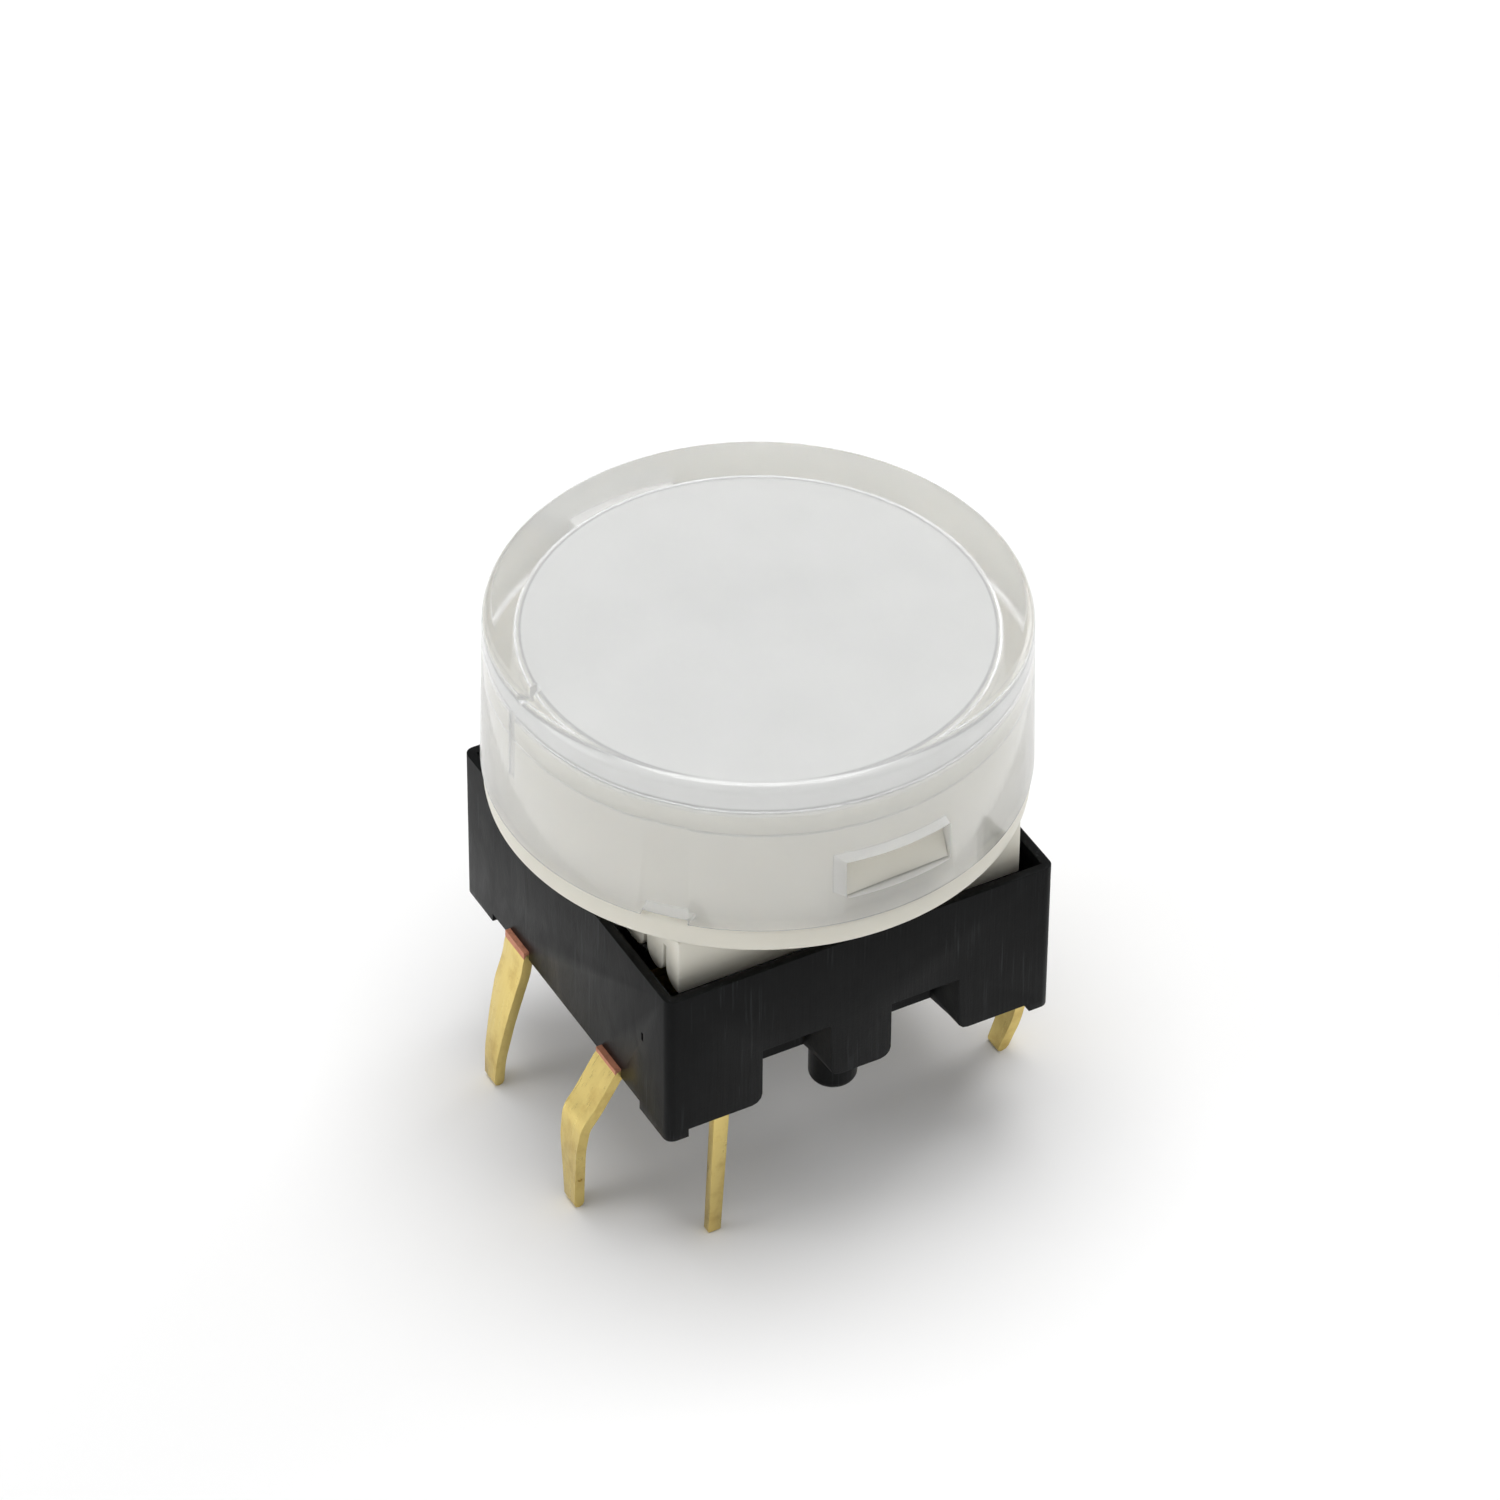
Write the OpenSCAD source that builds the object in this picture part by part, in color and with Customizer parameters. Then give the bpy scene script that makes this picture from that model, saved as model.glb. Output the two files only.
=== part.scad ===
// Illuminated tactile push button switch with a round clear cap, for through-hole mounting.
// Millimetres. Z = 0 is the plane of the leg tips, and the Z axis is the axis of the button.

/* [Base] */
// Side of the square base
base_w = 11.0; // [10.6:0.1:12]
// Height of the base, from its underside to the top of its walls
base_h = 4.4; // [4.2:0.1:5]
// Thickness of the base's upright walls
base_wall = 0.5; // [0.45:0.05:0.7]
// Thickness of the base's bottom
bottom_t = 2.2; // [2.1:0.1:2.4]
// Radius of the base's upright edges
base_edge_r = 0.25; // [0.1:0.05:0.4]
// Height of the corner feet
foot_h = 0.25; // [0.1:0.05:0.4]
// Length of a corner foot along the side face
foot_l = 1.5; // [1:0.1:1.8]
// Width of a corner foot
foot_w = 0.6; // [0.3:0.1:0.8]
// Height of the clear space under the base, down to the leg tips
stand_h = 4.2; // [4:0.1:5]

/* [Notches and pegs] */
// Width of the tab between the two notches of a face
tab_w = 1.74; // [1.5:0.02:2]
// Width of one notch
notch_w = 1.94; // [1.6:0.02:2.1]
// Height of a notch
notch_h = 1.73; // [1.4:0.01:1.8]
// Depth of a notch into the base
notch_d = 1.4; // [1:0.1:1.5]
// Size of the chamfers beside the notches
notch_chamfer = 0.3; // [0.1:0.05:0.4]
// Diameter of a locating peg
peg_d = 1.26; // [1:0.02:1.4]
// Distance of each peg's axis from the middle of the base
peg_y = 4.09; // [3.9:0.01:4.3]
// Length of a peg below the underside
peg_l = 1.43; // [1:0.01:1.8]
// Radius of the rounding at a peg's end
peg_round = 0.25; // [0.1:0.05:0.35]

/* [Terminals] */
// Distance between the two legs of one side
leg_pitch = 5.0; // [4.9:0.02:5.2]
// Width of a leg
leg_w = 1.04; // [0.9:0.02:1.1]
// Thickness of the terminal strip
leg_t = 0.28; // [0.2:0.02:0.3]
// Width of a leg at its tip
leg_tip_w = 0.6; // [0.5:0.02:0.8]
// Height above the tips at which a leg starts to taper
leg_taper_z = 2.6; // [1.5:0.1:3]
// Distance of the rising part of a terminal from the middle of the base
riser_x = 4.3; // [4.2:0.02:4.4]
// Distance of the rim contact pads' inner ends from the middle
rim_pad_x = 2.9; // [2.7:0.05:3]
// Distance of the crown contact pads' inner ends from the middle
crown_pad_x = 1.3; // [1.2:0.05:1.5]

/* [Lamp and its pins] */
// Diameter of the lamp
led_d = 3.0; // [2.8:0.05:3.1]
// Height of the lamp above the bottom of the base
led_h = 4.5; // [4:0.1:4.7]
// Width of the lamp's rim all round
led_rim = 0.2; // [0.1:0.02:0.22]
// Distance between the lamp's leads
led_lead_pitch = 2.54; // [2.5:0.02:2.6]
// Width of a lamp lead
led_lead_w = 0.45; // [0.4:0.01:0.5]
// Width of a lamp pin
pin_w = 0.5; // [0.4:0.02:0.6]
// Thickness of a lamp pin
pin_t = 0.25; // [0.2:0.01:0.3]
// Distance of a lamp pin from the middle of the base, along the front face
pin_x = 3.95; // [3.85:0.01:4]
// Distance of a lamp pin from the middle of the base, towards the front face
pin_y = 5.07; // [5:0.01:5.12]
// How far the front pin's tip leans to the left
pin_lean = 0.16; // [0:0.02:0.2]
// Height of the pins' buried arms above the underside
arm_z = 0.9; // [0.8:0.05:1]

/* [Click and return] */
// Travel of the button
travel = 0.6; // [0.4:0.05:0.65]
// Height of the click dome at rest, over its metal
dome_rise = 0.75; // [0.72:0.01:0.85]
// Thickness of the click dome
dome_t = 0.12; // [0.08:0.01:0.15]
// Outer radius of the click dome
dome_r = 4.1; // [3.9:0.05:4.2]
// Radius of the hole in the click dome
dome_hole_r = 2.35; // [2.3:0.01:2.4]
// Diameter of the return spring's wire
spring_wire = 0.22; // [0.16:0.01:0.24]
// Radius of the return spring at the middle of its wire
spring_r = 2.0; // [1.98:0.01:2.05]
// Number of turns of the return spring
spring_turns = 3.5; // [2.5:0.5:4.5]

/* [Plunger] */
// Running gap between the plunger and the base's walls, on each side
slide_gap = 0.15; // [0.1:0.01:0.18]
// Thickness of the plunger's skirt
skirt_t = 0.5; // [0.4:0.05:0.55]
// How far the skirt reaches down inside the base's walls
skirt_dip = 0.2; // [0.1:0.05:0.5]
// Radius of the skirt's lower corners
skirt_round = 0.7; // [0.3:0.05:0.75]
// Thickness of the plunger's roof
roof_t = 0.6; // [0.5:0.05:0.7]
// Wall of the ring that presses the click dome
push_ring_t = 0.6; // [0.4:0.05:0.8]
// Radius of the plunger's bore round the lamp
lamp_bore_r = 1.75; // [1.73:0.01:1.8]
// Half the side of the square spigot that carries the holder
spigot_half = 2.4; // [2.3:0.05:2.5]
// Height of the spigot
spigot_h = 1.6; // [1.2:0.1:1.8]
// Width of a snap leg
snap_w = 1.8; // [1.4:0.1:2.2]
// How far a snap leg's hook stands out
hook_out = 0.24; // [0.2:0.01:0.28]
// Height of a hook
hook_h = 0.6; // [0.4:0.05:0.7]

/* [Holder] */
// Gap between the base's walls and the flange when the button is at rest
press_gap = 1.25; // [1:0.05:1.6]
// How far the flange stays inside the cap's lower edge
flange_step = 0.07; // [0:0.01:0.2]
// Thickness of the flange
flange_t = 0.75; // [0.6:0.05:0.9]
// Radius of the rounding round the flange
flange_round = 0.15; // [0.05:0.01:0.25]
// Thickness of the cup's wall
cup_wall = 0.65; // [0.5:0.05:0.8]
// Wall round the socket for the spigot
socket_wall = 0.7; // [0.5:0.05:0.9]
// Height of a latch lug
lug_h = 1.05; // [0.9:0.05:1.1]
// Width of a latch lug
lug_w = 2.9; // [2.6:0.1:3]
// How far a lug's lower edge stays inside the cap's outside
lug_inset = 0.24; // [0.2:0.02:0.4]
// How far a lug's upper edge reaches into its window
lug_lip = 0.1; // [0.04:0.02:0.2]

/* [Cap and film] */
// Height of the clear cap
cap_h = 4.5; // [4.3:0.1:5]
// Outer radius of the cap at its lower edge
cap_r = 6.95; // [6.9:0.01:7.1]
// Thickness of the cap's wall
cap_wall = 0.8; // [0.6:0.05:0.9]
// How much the cap narrows towards its top
cap_taper = 0.1; // [0.05:0.01:0.15]
// Radius of the rounding round the cap's top
cap_round = 0.28; // [0.2:0.02:0.4]
// Thickness of the cap's top
cap_top_t = 1.12; // [0.9:0.02:1.2]
// Gap all round between the cup and the cap's inside
cap_gap = 0.1; // [0.08:0.01:0.13]
// Height of the latch windows' lower edges above the cap's lower edge
window_z = 1.0; // [0.8:0.05:1.1]
// Clearance round a lug in its window
window_gap = 0.06; // [0.04:0.01:0.1]
// Width of the cap's key rib
rib_w = 0.26; // [0.2:0.02:0.4]
// How far the key rib stands out inside the cap
rib_out = 0.3; // [0.2:0.02:0.4]
// Height of the key rib
rib_h = 1.9; // [1:0.1:2.2]
// Width of the small notch for prying the cap off
pry_w = 1.4; // [1:0.1:1.8]
// Height of the pry notch
pry_h = 0.3; // [0.2:0.05:0.4]
// Thickness of the diffuser
diffuser_t = 0.6; // [0.5:0.05:0.7]
// Depth of the diffuser's collar inside the cup
collar_h = 0.4; // [0.3:0.05:0.6]
// How far the legend film's edge stays inside the diffuser's
film_step = 0.13; // [0.05:0.01:0.25]
// Thickness of the legend film
film_t = 0.1; // [0.08:0.01:0.14]
// Air gap over the legend film
film_gap = 0.04; // [0.03:0.01:0.06]

/* [Hidden] */

$fn = 96;
black = [0.13, 0.14, 0.14];
gold = [0.80, 0.69, 0.41];
steel = [0.75, 0.76, 0.77];
resin = [0.93, 0.93, 0.90];
ivory = [0.90, 0.89, 0.86];
milk = [0.92, 0.92, 0.90];
white = [0.93, 0.93, 0.92];
clear = [0.87, 0.88, 0.86, 0.4];

// Past both faces of a wall that a cut goes through
past = 1;
// Fit between pieces that are clipped or pushed together
seat_gap = 0.02;
// Space between a terminal strip and a lamp pin's buried arm
arm_gap = 0.3;
// How much narrower a lamp pin is at its tip
pin_narrow = 0.05;
// Height of the lamp's rim
led_rim_h = 0.4;
// Lengths of a snap leg's tapered end and of the slanted edge of its hook
snap_end = 0.3;
hook_edge = 0.1;
// Clearances of a hook in its recess: above, outwards and to each side
recess_over = 0.05;
recess_behind = 0.04;
recess_beside = 0.2;
// Share of a lug's height that is upright, below its slope
lug_upright = 0.3;
// Directions of the cap's key rib and pry notch round its axis
rib_angle = 175;
pry_angle = -140;

underside_z = stand_h;
bottom_z = underside_z + bottom_t;
wall_top_z = underside_z + base_h;
flange_z = wall_top_z + press_gap;
cap_z = flange_z + flange_t;
cap_top_z = cap_z + cap_h;
cap_roof_z = cap_top_z - cap_top_t;
film_z = cap_roof_z - film_gap - film_t;
cup_top_z = film_z - diffuser_t;

base_half = base_w / 2;
cavity_half = base_half - base_wall;
skirt_half = cavity_half - slide_gap;
skirt_z = wall_top_z - skirt_dip;
roof_z = flange_z - roof_t;
dome_top_z = bottom_z + dome_rise + dome_t;
push_z = dome_top_z + seat_gap;
snap_leg_z = bottom_z + travel + 2 * seat_gap;
hook_top_z = snap_leg_z + snap_end + hook_h;
recess_top_z = hook_top_z + recess_over;
recess_in = hook_out + recess_behind;
cap_inner_r = cap_r - cap_wall;
cup_r = cap_inner_r - cap_gap;
film_r = cup_r - film_step;
flange_r = cap_r - flange_step;
notch_in = tab_w / 2;
notch_out = notch_in + notch_w;

// Slots in the plunger's sides, as distances from the middle: nearer edge and farther edge
skirt_slots = [[3.0, 3.35], [3.85, 4.35]];

// How far each strip runs out past the side face before it turns down
front_left_out = 0.12;
back_left_out = 0.00;
front_right_out = 0.12;
back_right_out = 0.12;
// Each leg's bends below that turn, as [distance out from the side face, drop below the underside]
front_left_bends = [[0.69, 0.97], [1.00, 1.37], [1.10, 2.17], [1.09, 3.18]];
back_left_bends = [[0.10, 0.50], [0.31, 1.14], [0.53, 2.11], [0.74, 3.30]];
front_right_bends = [[0.60, 0.95], [0.80, 1.40], [0.84, 2.30], [0.66, 3.30]];
back_right_bends = [[0.66, 1.00], [0.94, 1.40], [1.02, 2.20], [1.00, 3.20]];
// Reach of each leg's tip out from the side face
front_left_tip = 1.08;
back_left_tip = 0.80;
front_right_tip = 0.18;
back_right_tip = 1.00;
// Rounding of the bends, and points on each one
bend_r = 0.22;
bend_steps = 4;

// A square outline with rounded corners
module rounded_square(half, r) {
    square([2 * half, 2 * (half - r)], center = true);
    square([2 * (half - r), 2 * half], center = true);
    for (sx = [-1, 1], sy = [-1, 1])
        translate([sx * (half - r), sy * (half - r)])
            circle(r, $fn = 32);
}

// A box that is centred in x and y and stands on z
module post(size, z) {
    translate([-size[0] / 2, -size[1] / 2, z])
        cube(size);
}

// An outline in x and z, pushed along y from y0 for a length
module along_y(y0, length) {
    translate([0, y0 + length, 0])
        rotate([90, 0, 0])
            linear_extrude(length)
                children();
}

function unit(v) = v / norm(v);

// A bent line with its inner corners rounded by short curves
function rounded_path(p, r, n) = concat(
    [p[0]],
    [for (i = [1 : len(p) - 2])
        let (a = p[i] + unit(p[i - 1] - p[i]) * min(r, norm(p[i - 1] - p[i]) / 2.2),
             b = p[i] + unit(p[i + 1] - p[i]) * min(r, norm(p[i + 1] - p[i]) / 2.2))
        for (k = [0 : n])
            let (t = k / n)
            (1 - t) * (1 - t) * a + 2 * t * (1 - t) * p[i] + t * t * b],
    [p[len(p) - 1]]);

// The sideways direction at point i of a line, lengthened so that a strip keeps its thickness
function side_step(p, i) =
    let (d0 = unit(p[max(i, 1)] - p[max(i, 1) - 1]),
         d1 = unit(p[min(i + 1, len(p) - 1)] - p[min(i, len(p) - 2)]),
         n0 = [-d0[1], d0[0]],
         n1 = [-d1[1], d1[0]],
         m = unit(n0 + n1))
    m / (m * n0);

// The outline of a strip of even thickness along a line
function strip_outline(p, t) = concat(
    [for (i = [0 : len(p) - 1]) p[i] + side_step(p, i) * t / 2],
    [for (i = [len(p) - 1 : -1 : 0]) p[i] - side_step(p, i) * t / 2]);

// The middle line of a terminal in x and z, for the right-hand side, to just past its level end
function terminal_line(pad_x, out, bends, tip) = concat(
    [[pad_x, bottom_z - leg_t / 2],
     [riser_x, bottom_z - leg_t / 2],
     [riser_x, underside_z + leg_t / 2],
     [base_half + out, underside_z + leg_t / 2]],
    [for (b = bends) [base_half + b[0], underside_z - b[1]]],
    [[base_half + tip, -leg_t]]);

// A terminal seen along x: as wide as the strip, and tapering to its leg's tip at z = 0
module terminal_taper() {
    polygon([[leg_w / 2, leg_taper_z], [leg_w / 2, bottom_z + past], [-leg_w / 2, bottom_z + past],
        [-leg_w / 2, leg_taper_z], [-leg_tip_w / 2, 0], [leg_tip_w / 2, 0]]);
}

// A whole terminal on its side of the base, with its leg's end cut level
module terminal_solid(pad_x, out, bends, tip, side, place) {
    line = rounded_path(terminal_line(pad_x, out, bends, tip), bend_r, bend_steps);
    translate([0, place * leg_pitch / 2, 0])
        intersection() {
            mirror([side < 0 ? 1 : 0, 0, 0])
                along_y(-leg_w / 2, leg_w)
                    polygon(strip_outline(line, leg_t));
            rotate([0, 0, 90])
                along_y(-base_w, 2 * base_w)
                    terminal_taper();
        }
}

module front_left_terminal() {
    color(gold)
        terminal_solid(rim_pad_x, front_left_out, front_left_bends, front_left_tip, -1, -1);
}

module back_left_terminal() {
    color(gold)
        terminal_solid(rim_pad_x, back_left_out, back_left_bends, back_left_tip, -1, 1);
}

module front_right_terminal() {
    color(gold)
        terminal_solid(crown_pad_x, front_right_out, front_right_bends, front_right_tip, 1, -1);
}

module back_right_terminal() {
    color(gold)
        terminal_solid(crown_pad_x, back_right_out, back_right_bends, back_right_tip, 1, 1);
}

// One lamp pin: the flat leg and its buried arm to the lamp's lead, for the front
module led_pin_solid(lean) {
    arm_y = leg_pitch / 2 + leg_w / 2 + arm_gap;
    arm_top = underside_z + arm_z + pin_t;
    lead_y = led_lead_pitch / 2;
    translate([-pin_x, -pin_y, 0])
        along_y(-pin_t / 2, pin_t)
            polygon([[-pin_w / 2, arm_top], [-pin_w / 2, underside_z], [-pin_w / 2 - lean, 0],
                [pin_w / 2 - lean - pin_narrow, 0], [pin_w / 2, underside_z], [pin_w / 2, arm_top]]);
    translate([-pin_x - pin_w / 2, -pin_y - pin_t / 2, arm_top - pin_t])
        cube([pin_w, pin_y - arm_y + pin_t, pin_t]);
    translate([-pin_x - pin_w / 2, -arm_y - pin_t / 2, arm_top - pin_t])
        cube([pin_x + pin_w, pin_t, pin_t]);
    translate([-pin_w / 2, -arm_y - pin_t / 2, arm_top - pin_t])
        cube([pin_w, arm_y - lead_y + pin_t / 2 + led_lead_w / 2, pin_t]);
}

module front_led_pin() {
    color(gold)
        led_pin_solid(pin_lean);
}

module back_led_pin() {
    color(gold)
        rotate([0, 0, 180])
            led_pin_solid(0);
}

module led_leads() {
    lead_bottom = underside_z + arm_z + pin_t;
    for (s = [-1, 1])
        translate([0, s * led_lead_pitch / 2, 0])
            post([led_lead_w, led_lead_w, bottom_z - lead_bottom], lead_bottom);
}

module led() {
    r = led_d / 2;
    color(resin) {
        translate([0, 0, bottom_z])
            cylinder(h = led_rim_h, r = r + led_rim);
        translate([0, 0, bottom_z])
            cylinder(h = led_h - r, r = r);
        translate([0, 0, bottom_z + led_h - r])
            sphere(r);
        led_leads();
    }
}

// A locating peg with a rounded end, hanging from z = 0
module peg() {
    r = peg_d / 2;
    rotate_extrude()
        difference() {
            translate([0, -peg_l])
                square([r, peg_l + notch_h / 2]);
            difference() {
                translate([r - peg_round, -peg_l - past])
                    square([past, peg_round + past]);
                translate([r - peg_round, -peg_l + peg_round])
                    circle(peg_round, $fn = 32);
            }
        }
}

// The cut for one notch, seen from the front, with its lower corners chamfered
module notch_outline() {
    c = notch_chamfer;
    polygon([[notch_in - c, -past], [notch_in - c, 0], [notch_in, c], [notch_in, notch_h],
        [notch_out, notch_h], [notch_out, c], [notch_out + c, 0], [notch_out + c, -past]]);
}

module base_notches() {
    for (turn = [0, 180], side = [-1, 1])
        rotate([0, 0, turn])
            mirror([side < 0 ? 1 : 0, 0, 0])
                translate([0, 0, underside_z])
                    along_y(-base_half - past, notch_d + past)
                        notch_outline();
}

module base_feet() {
    intersection() {
        translate([0, 0, underside_z - foot_h])
            linear_extrude(2 * foot_h)
                rounded_square(base_half, base_edge_r);
        for (sx = [-1, 1], sy = [-1, 1])
            translate([sx * base_half, sy * base_half, 0])
                post([2 * foot_w, 2 * foot_l, 3 * foot_h], underside_z - foot_h);
    }
}

// Pockets inside the two side walls, which hold the plunger's hooks
module hook_recesses() {
    for (s = [-1, 1])
        translate([s * cavity_half, 0, 0])
            post([2 * recess_in, snap_w + 2 * recess_beside, recess_top_z - bottom_z], bottom_z);
}

module base() {
    color(black)
        difference() {
            union() {
                translate([0, 0, underside_z])
                    linear_extrude(base_h)
                        rounded_square(base_half, base_edge_r);
                base_feet();
                for (s = [-1, 1])
                    translate([0, s * peg_y, underside_z])
                        peg();
            }
            post([2 * cavity_half, 2 * cavity_half, base_h], bottom_z);
            base_notches();
            hook_recesses();
            front_left_terminal();
            back_left_terminal();
            front_right_terminal();
            back_right_terminal();
            front_led_pin();
            back_led_pin();
            led_leads();
        }
}

// Height of the click dome's underside at radius r: level at the hole and steeper to the rim
function dome_height(r) = dome_rise * (1 - pow((r - dome_hole_r) / (dome_r - dome_hole_r), 2));

module click_dome() {
    steps = 8;
    radii = [for (k = [0 : steps]) dome_hole_r + (dome_r - dome_hole_r) * k / steps];
    color(steel)
        translate([0, 0, bottom_z])
            rotate_extrude()
                polygon(concat(
                    [for (r = radii) [r, dome_height(r)]],
                    [for (k = [steps : -1 : 0]) [radii[k], dome_height(radii[k]) + dome_t]]));
}

// Eight-sided wire swept up a helix, from the bottom of the base to the plunger's roof
module return_spring() {
    sides = 8;
    steps = ceil(spring_turns * 24);
    length = roof_z - bottom_z;
    wire_r = spring_wire / 2;
    rings = [for (i = [0 : steps])
        let (a = 360 * spring_turns * i / steps,
             z = bottom_z + wire_r + (length - spring_wire) * i / steps)
        for (k = [0 : sides - 1])
            let (b = 360 * (k + 0.5) / sides, r = spring_r + wire_r * cos(b))
            [r * cos(a), r * sin(a), z + wire_r * sin(b)]];
    walls = [for (i = [0 : steps - 1], k = [0 : sides - 1])
        let (k2 = (k + 1) % sides)
        [i * sides + k, (i + 1) * sides + k, (i + 1) * sides + k2, i * sides + k2]];
    first = [for (k = [0 : sides - 1]) k];
    last = [for (k = [sides - 1 : -1 : 0]) steps * sides + k];
    color(steel)
        polyhedron(points = rings, faces = concat(walls, [first], [last]));
}

// The side view of the skirt: a plate whose lower corners are rounded
module skirt_outline() {
    r = skirt_round;
    translate([-skirt_half, skirt_z + r])
        square([2 * skirt_half, flange_z - skirt_z - r]);
    translate([-skirt_half + r, skirt_z])
        square([2 * (skirt_half - r), flange_z - skirt_z]);
    for (s = [-1, 1])
        translate([s * (skirt_half - r), skirt_z + r])
            circle(r, $fn = 32);
}

module skirt() {
    inner = skirt_half - skirt_t;
    difference() {
        intersection() {
            along_y(-skirt_half, 2 * skirt_half)
                skirt_outline();
            rotate([0, 0, 90])
                along_y(-skirt_half, 2 * skirt_half)
                    skirt_outline();
        }
        post([2 * inner, 2 * inner, roof_z - skirt_z + past], skirt_z - past);
        for (slot = skirt_slots, sx = [-1, 1], sy = [-1, 1])
            translate([sx * skirt_half, sy * (slot[0] + slot[1]) / 2, 0])
                post([4 * skirt_t, slot[1] - slot[0], roof_z - skirt_z + past], skirt_z - past);
    }
}

// A snap leg under the right-hand edge of the roof, with its hook outside
module snap_leg() {
    along_y(-snap_w / 2, snap_w)
        polygon([[skirt_half - skirt_t, snap_leg_z], [skirt_half, snap_leg_z],
            [skirt_half, hook_top_z - hook_h], [skirt_half + hook_out, hook_top_z - hook_edge],
            [skirt_half + hook_out, hook_top_z], [skirt_half, hook_top_z],
            [skirt_half, roof_z + roof_t / 2], [skirt_half - skirt_t, roof_z + roof_t / 2]]);
}

module plunger() {
    color(ivory)
        difference() {
            union() {
                skirt();
                for (turn = [0, 180])
                    rotate([0, 0, turn])
                        snap_leg();
                translate([0, 0, push_z])
                    cylinder(h = roof_z - push_z + roof_t / 2, r = dome_hole_r + push_ring_t);
                post([2 * spigot_half, 2 * spigot_half, spigot_h + roof_t / 2], roof_z + roof_t / 2);
            }
            translate([0, 0, push_z - past])
                cylinder(h = roof_z - push_z + past, r = dome_hole_r);
            cylinder(h = cap_top_z, r = lamp_bore_r);
        }
}

// A wedge that fills the cap's window from behind, seen from the side
module latch_lug() {
    z0 = cap_z + window_z + window_gap;
    rotate([0, 0, 90])
        along_y(-lug_w / 2, lug_w)
            polygon([[cup_r - cup_wall, z0], [cap_r - lug_inset, z0],
                [cap_r - lug_inset, z0 + lug_h * lug_upright], [cap_inner_r + lug_lip, z0 + lug_h],
                [cup_r - cup_wall, z0 + lug_h]]);
}

// The groove for the cap's key rib
module rib_groove() {
    rotate([0, 0, rib_angle])
        translate([cup_r, 0, 0])
            post([2 * (rib_out - cap_gap + seat_gap), rib_w + 2 * seat_gap, cap_h],
                cap_roof_z - rib_h - seat_gap);
}

// The holder's flange, with its edges rounded
module flange() {
    translate([0, 0, flange_z])
        rotate_extrude() {
            square([flange_r - flange_round, flange_t]);
            translate([0, flange_round])
                square([flange_r, flange_t - 2 * flange_round]);
            for (z = [flange_round, flange_t - flange_round])
                translate([flange_r - flange_round, z])
                    circle(flange_round, $fn = 32);
        }
}

module cap_holder() {
    socket_half = spigot_half + seat_gap;
    hub_half = socket_half + socket_wall;
    color(ivory)
        difference() {
            union() {
                flange();
                difference() {
                    translate([0, 0, flange_z])
                        cylinder(h = cup_top_z - flange_z, r = cup_r);
                    translate([0, 0, cap_z])
                        cylinder(h = cap_h, r = cup_r - cup_wall);
                }
                post([2 * hub_half, 2 * hub_half, spigot_h], flange_z);
                for (turn = [0, 180])
                    rotate([0, 0, turn])
                        latch_lug();
            }
            post([2 * socket_half, 2 * socket_half, cap_h], flange_z - past);
            rib_groove();
        }
}

module diffuser() {
    color(milk)
        difference() {
            union() {
                translate([0, 0, cup_top_z])
                    cylinder(h = diffuser_t, r = cup_r);
                translate([0, 0, cup_top_z - collar_h])
                    cylinder(h = collar_h, r = cup_r - cup_wall - seat_gap);
            }
            translate([0, 0, cup_top_z - collar_h - past])
                cylinder(h = collar_h + past, r = cup_r - 2 * cup_wall - seat_gap);
            rib_groove();
        }
}

module legend_film() {
    color(white)
        difference() {
            translate([0, 0, film_z])
                cylinder(h = film_t, r = film_r);
            rib_groove();
        }
}

// The cap's outside: a slightly tapering drum with a rounded upper edge
module cap_drum() {
    top_r = cap_r - cap_taper;
    translate([0, 0, cap_z])
        rotate_extrude() {
            polygon([[0, 0], [cap_r, 0], [top_r, cap_h - cap_round], [0, cap_h - cap_round]]);
            translate([0, cap_h - 2 * cap_round])
                square([top_r - cap_round, 2 * cap_round]);
            translate([top_r - cap_round, cap_h - cap_round])
                circle(cap_round, $fn = 32);
        }
}

module lens_cap() {
    window_half = lug_w / 2 + window_gap;
    color(clear)
        difference() {
            cap_drum();
            difference() {
                translate([0, 0, cap_z - past])
                    cylinder(h = cap_roof_z - cap_z + past, r = cap_inner_r);
                rotate([0, 0, rib_angle])
                    translate([cap_inner_r, 0, 0])
                        post([2 * rib_out, rib_w, rib_h + past], cap_roof_z - rib_h);
            }
            for (s = [-1, 1])
                translate([0, s * cap_r, 0])
                    post([2 * window_half, cap_r, lug_h + 2 * window_gap], cap_z + window_z);
            rotate([0, 0, pry_angle])
                translate([cap_r, 0, 0])
                    post([cap_r, pry_w, pry_h + past], cap_z - past);
        }
}

base();
front_left_terminal();
back_left_terminal();
front_right_terminal();
back_right_terminal();
front_led_pin();
back_led_pin();
led();
click_dome();
return_spring();
plunger();
cap_holder();
diffuser();
legend_film();
lens_cap();
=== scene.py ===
"""Dresses the packed frame of an illuminated tactile push button switch.

Pieces are modelled in millimetres round the button's axis, and brought to metres at the end.
"""

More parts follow.
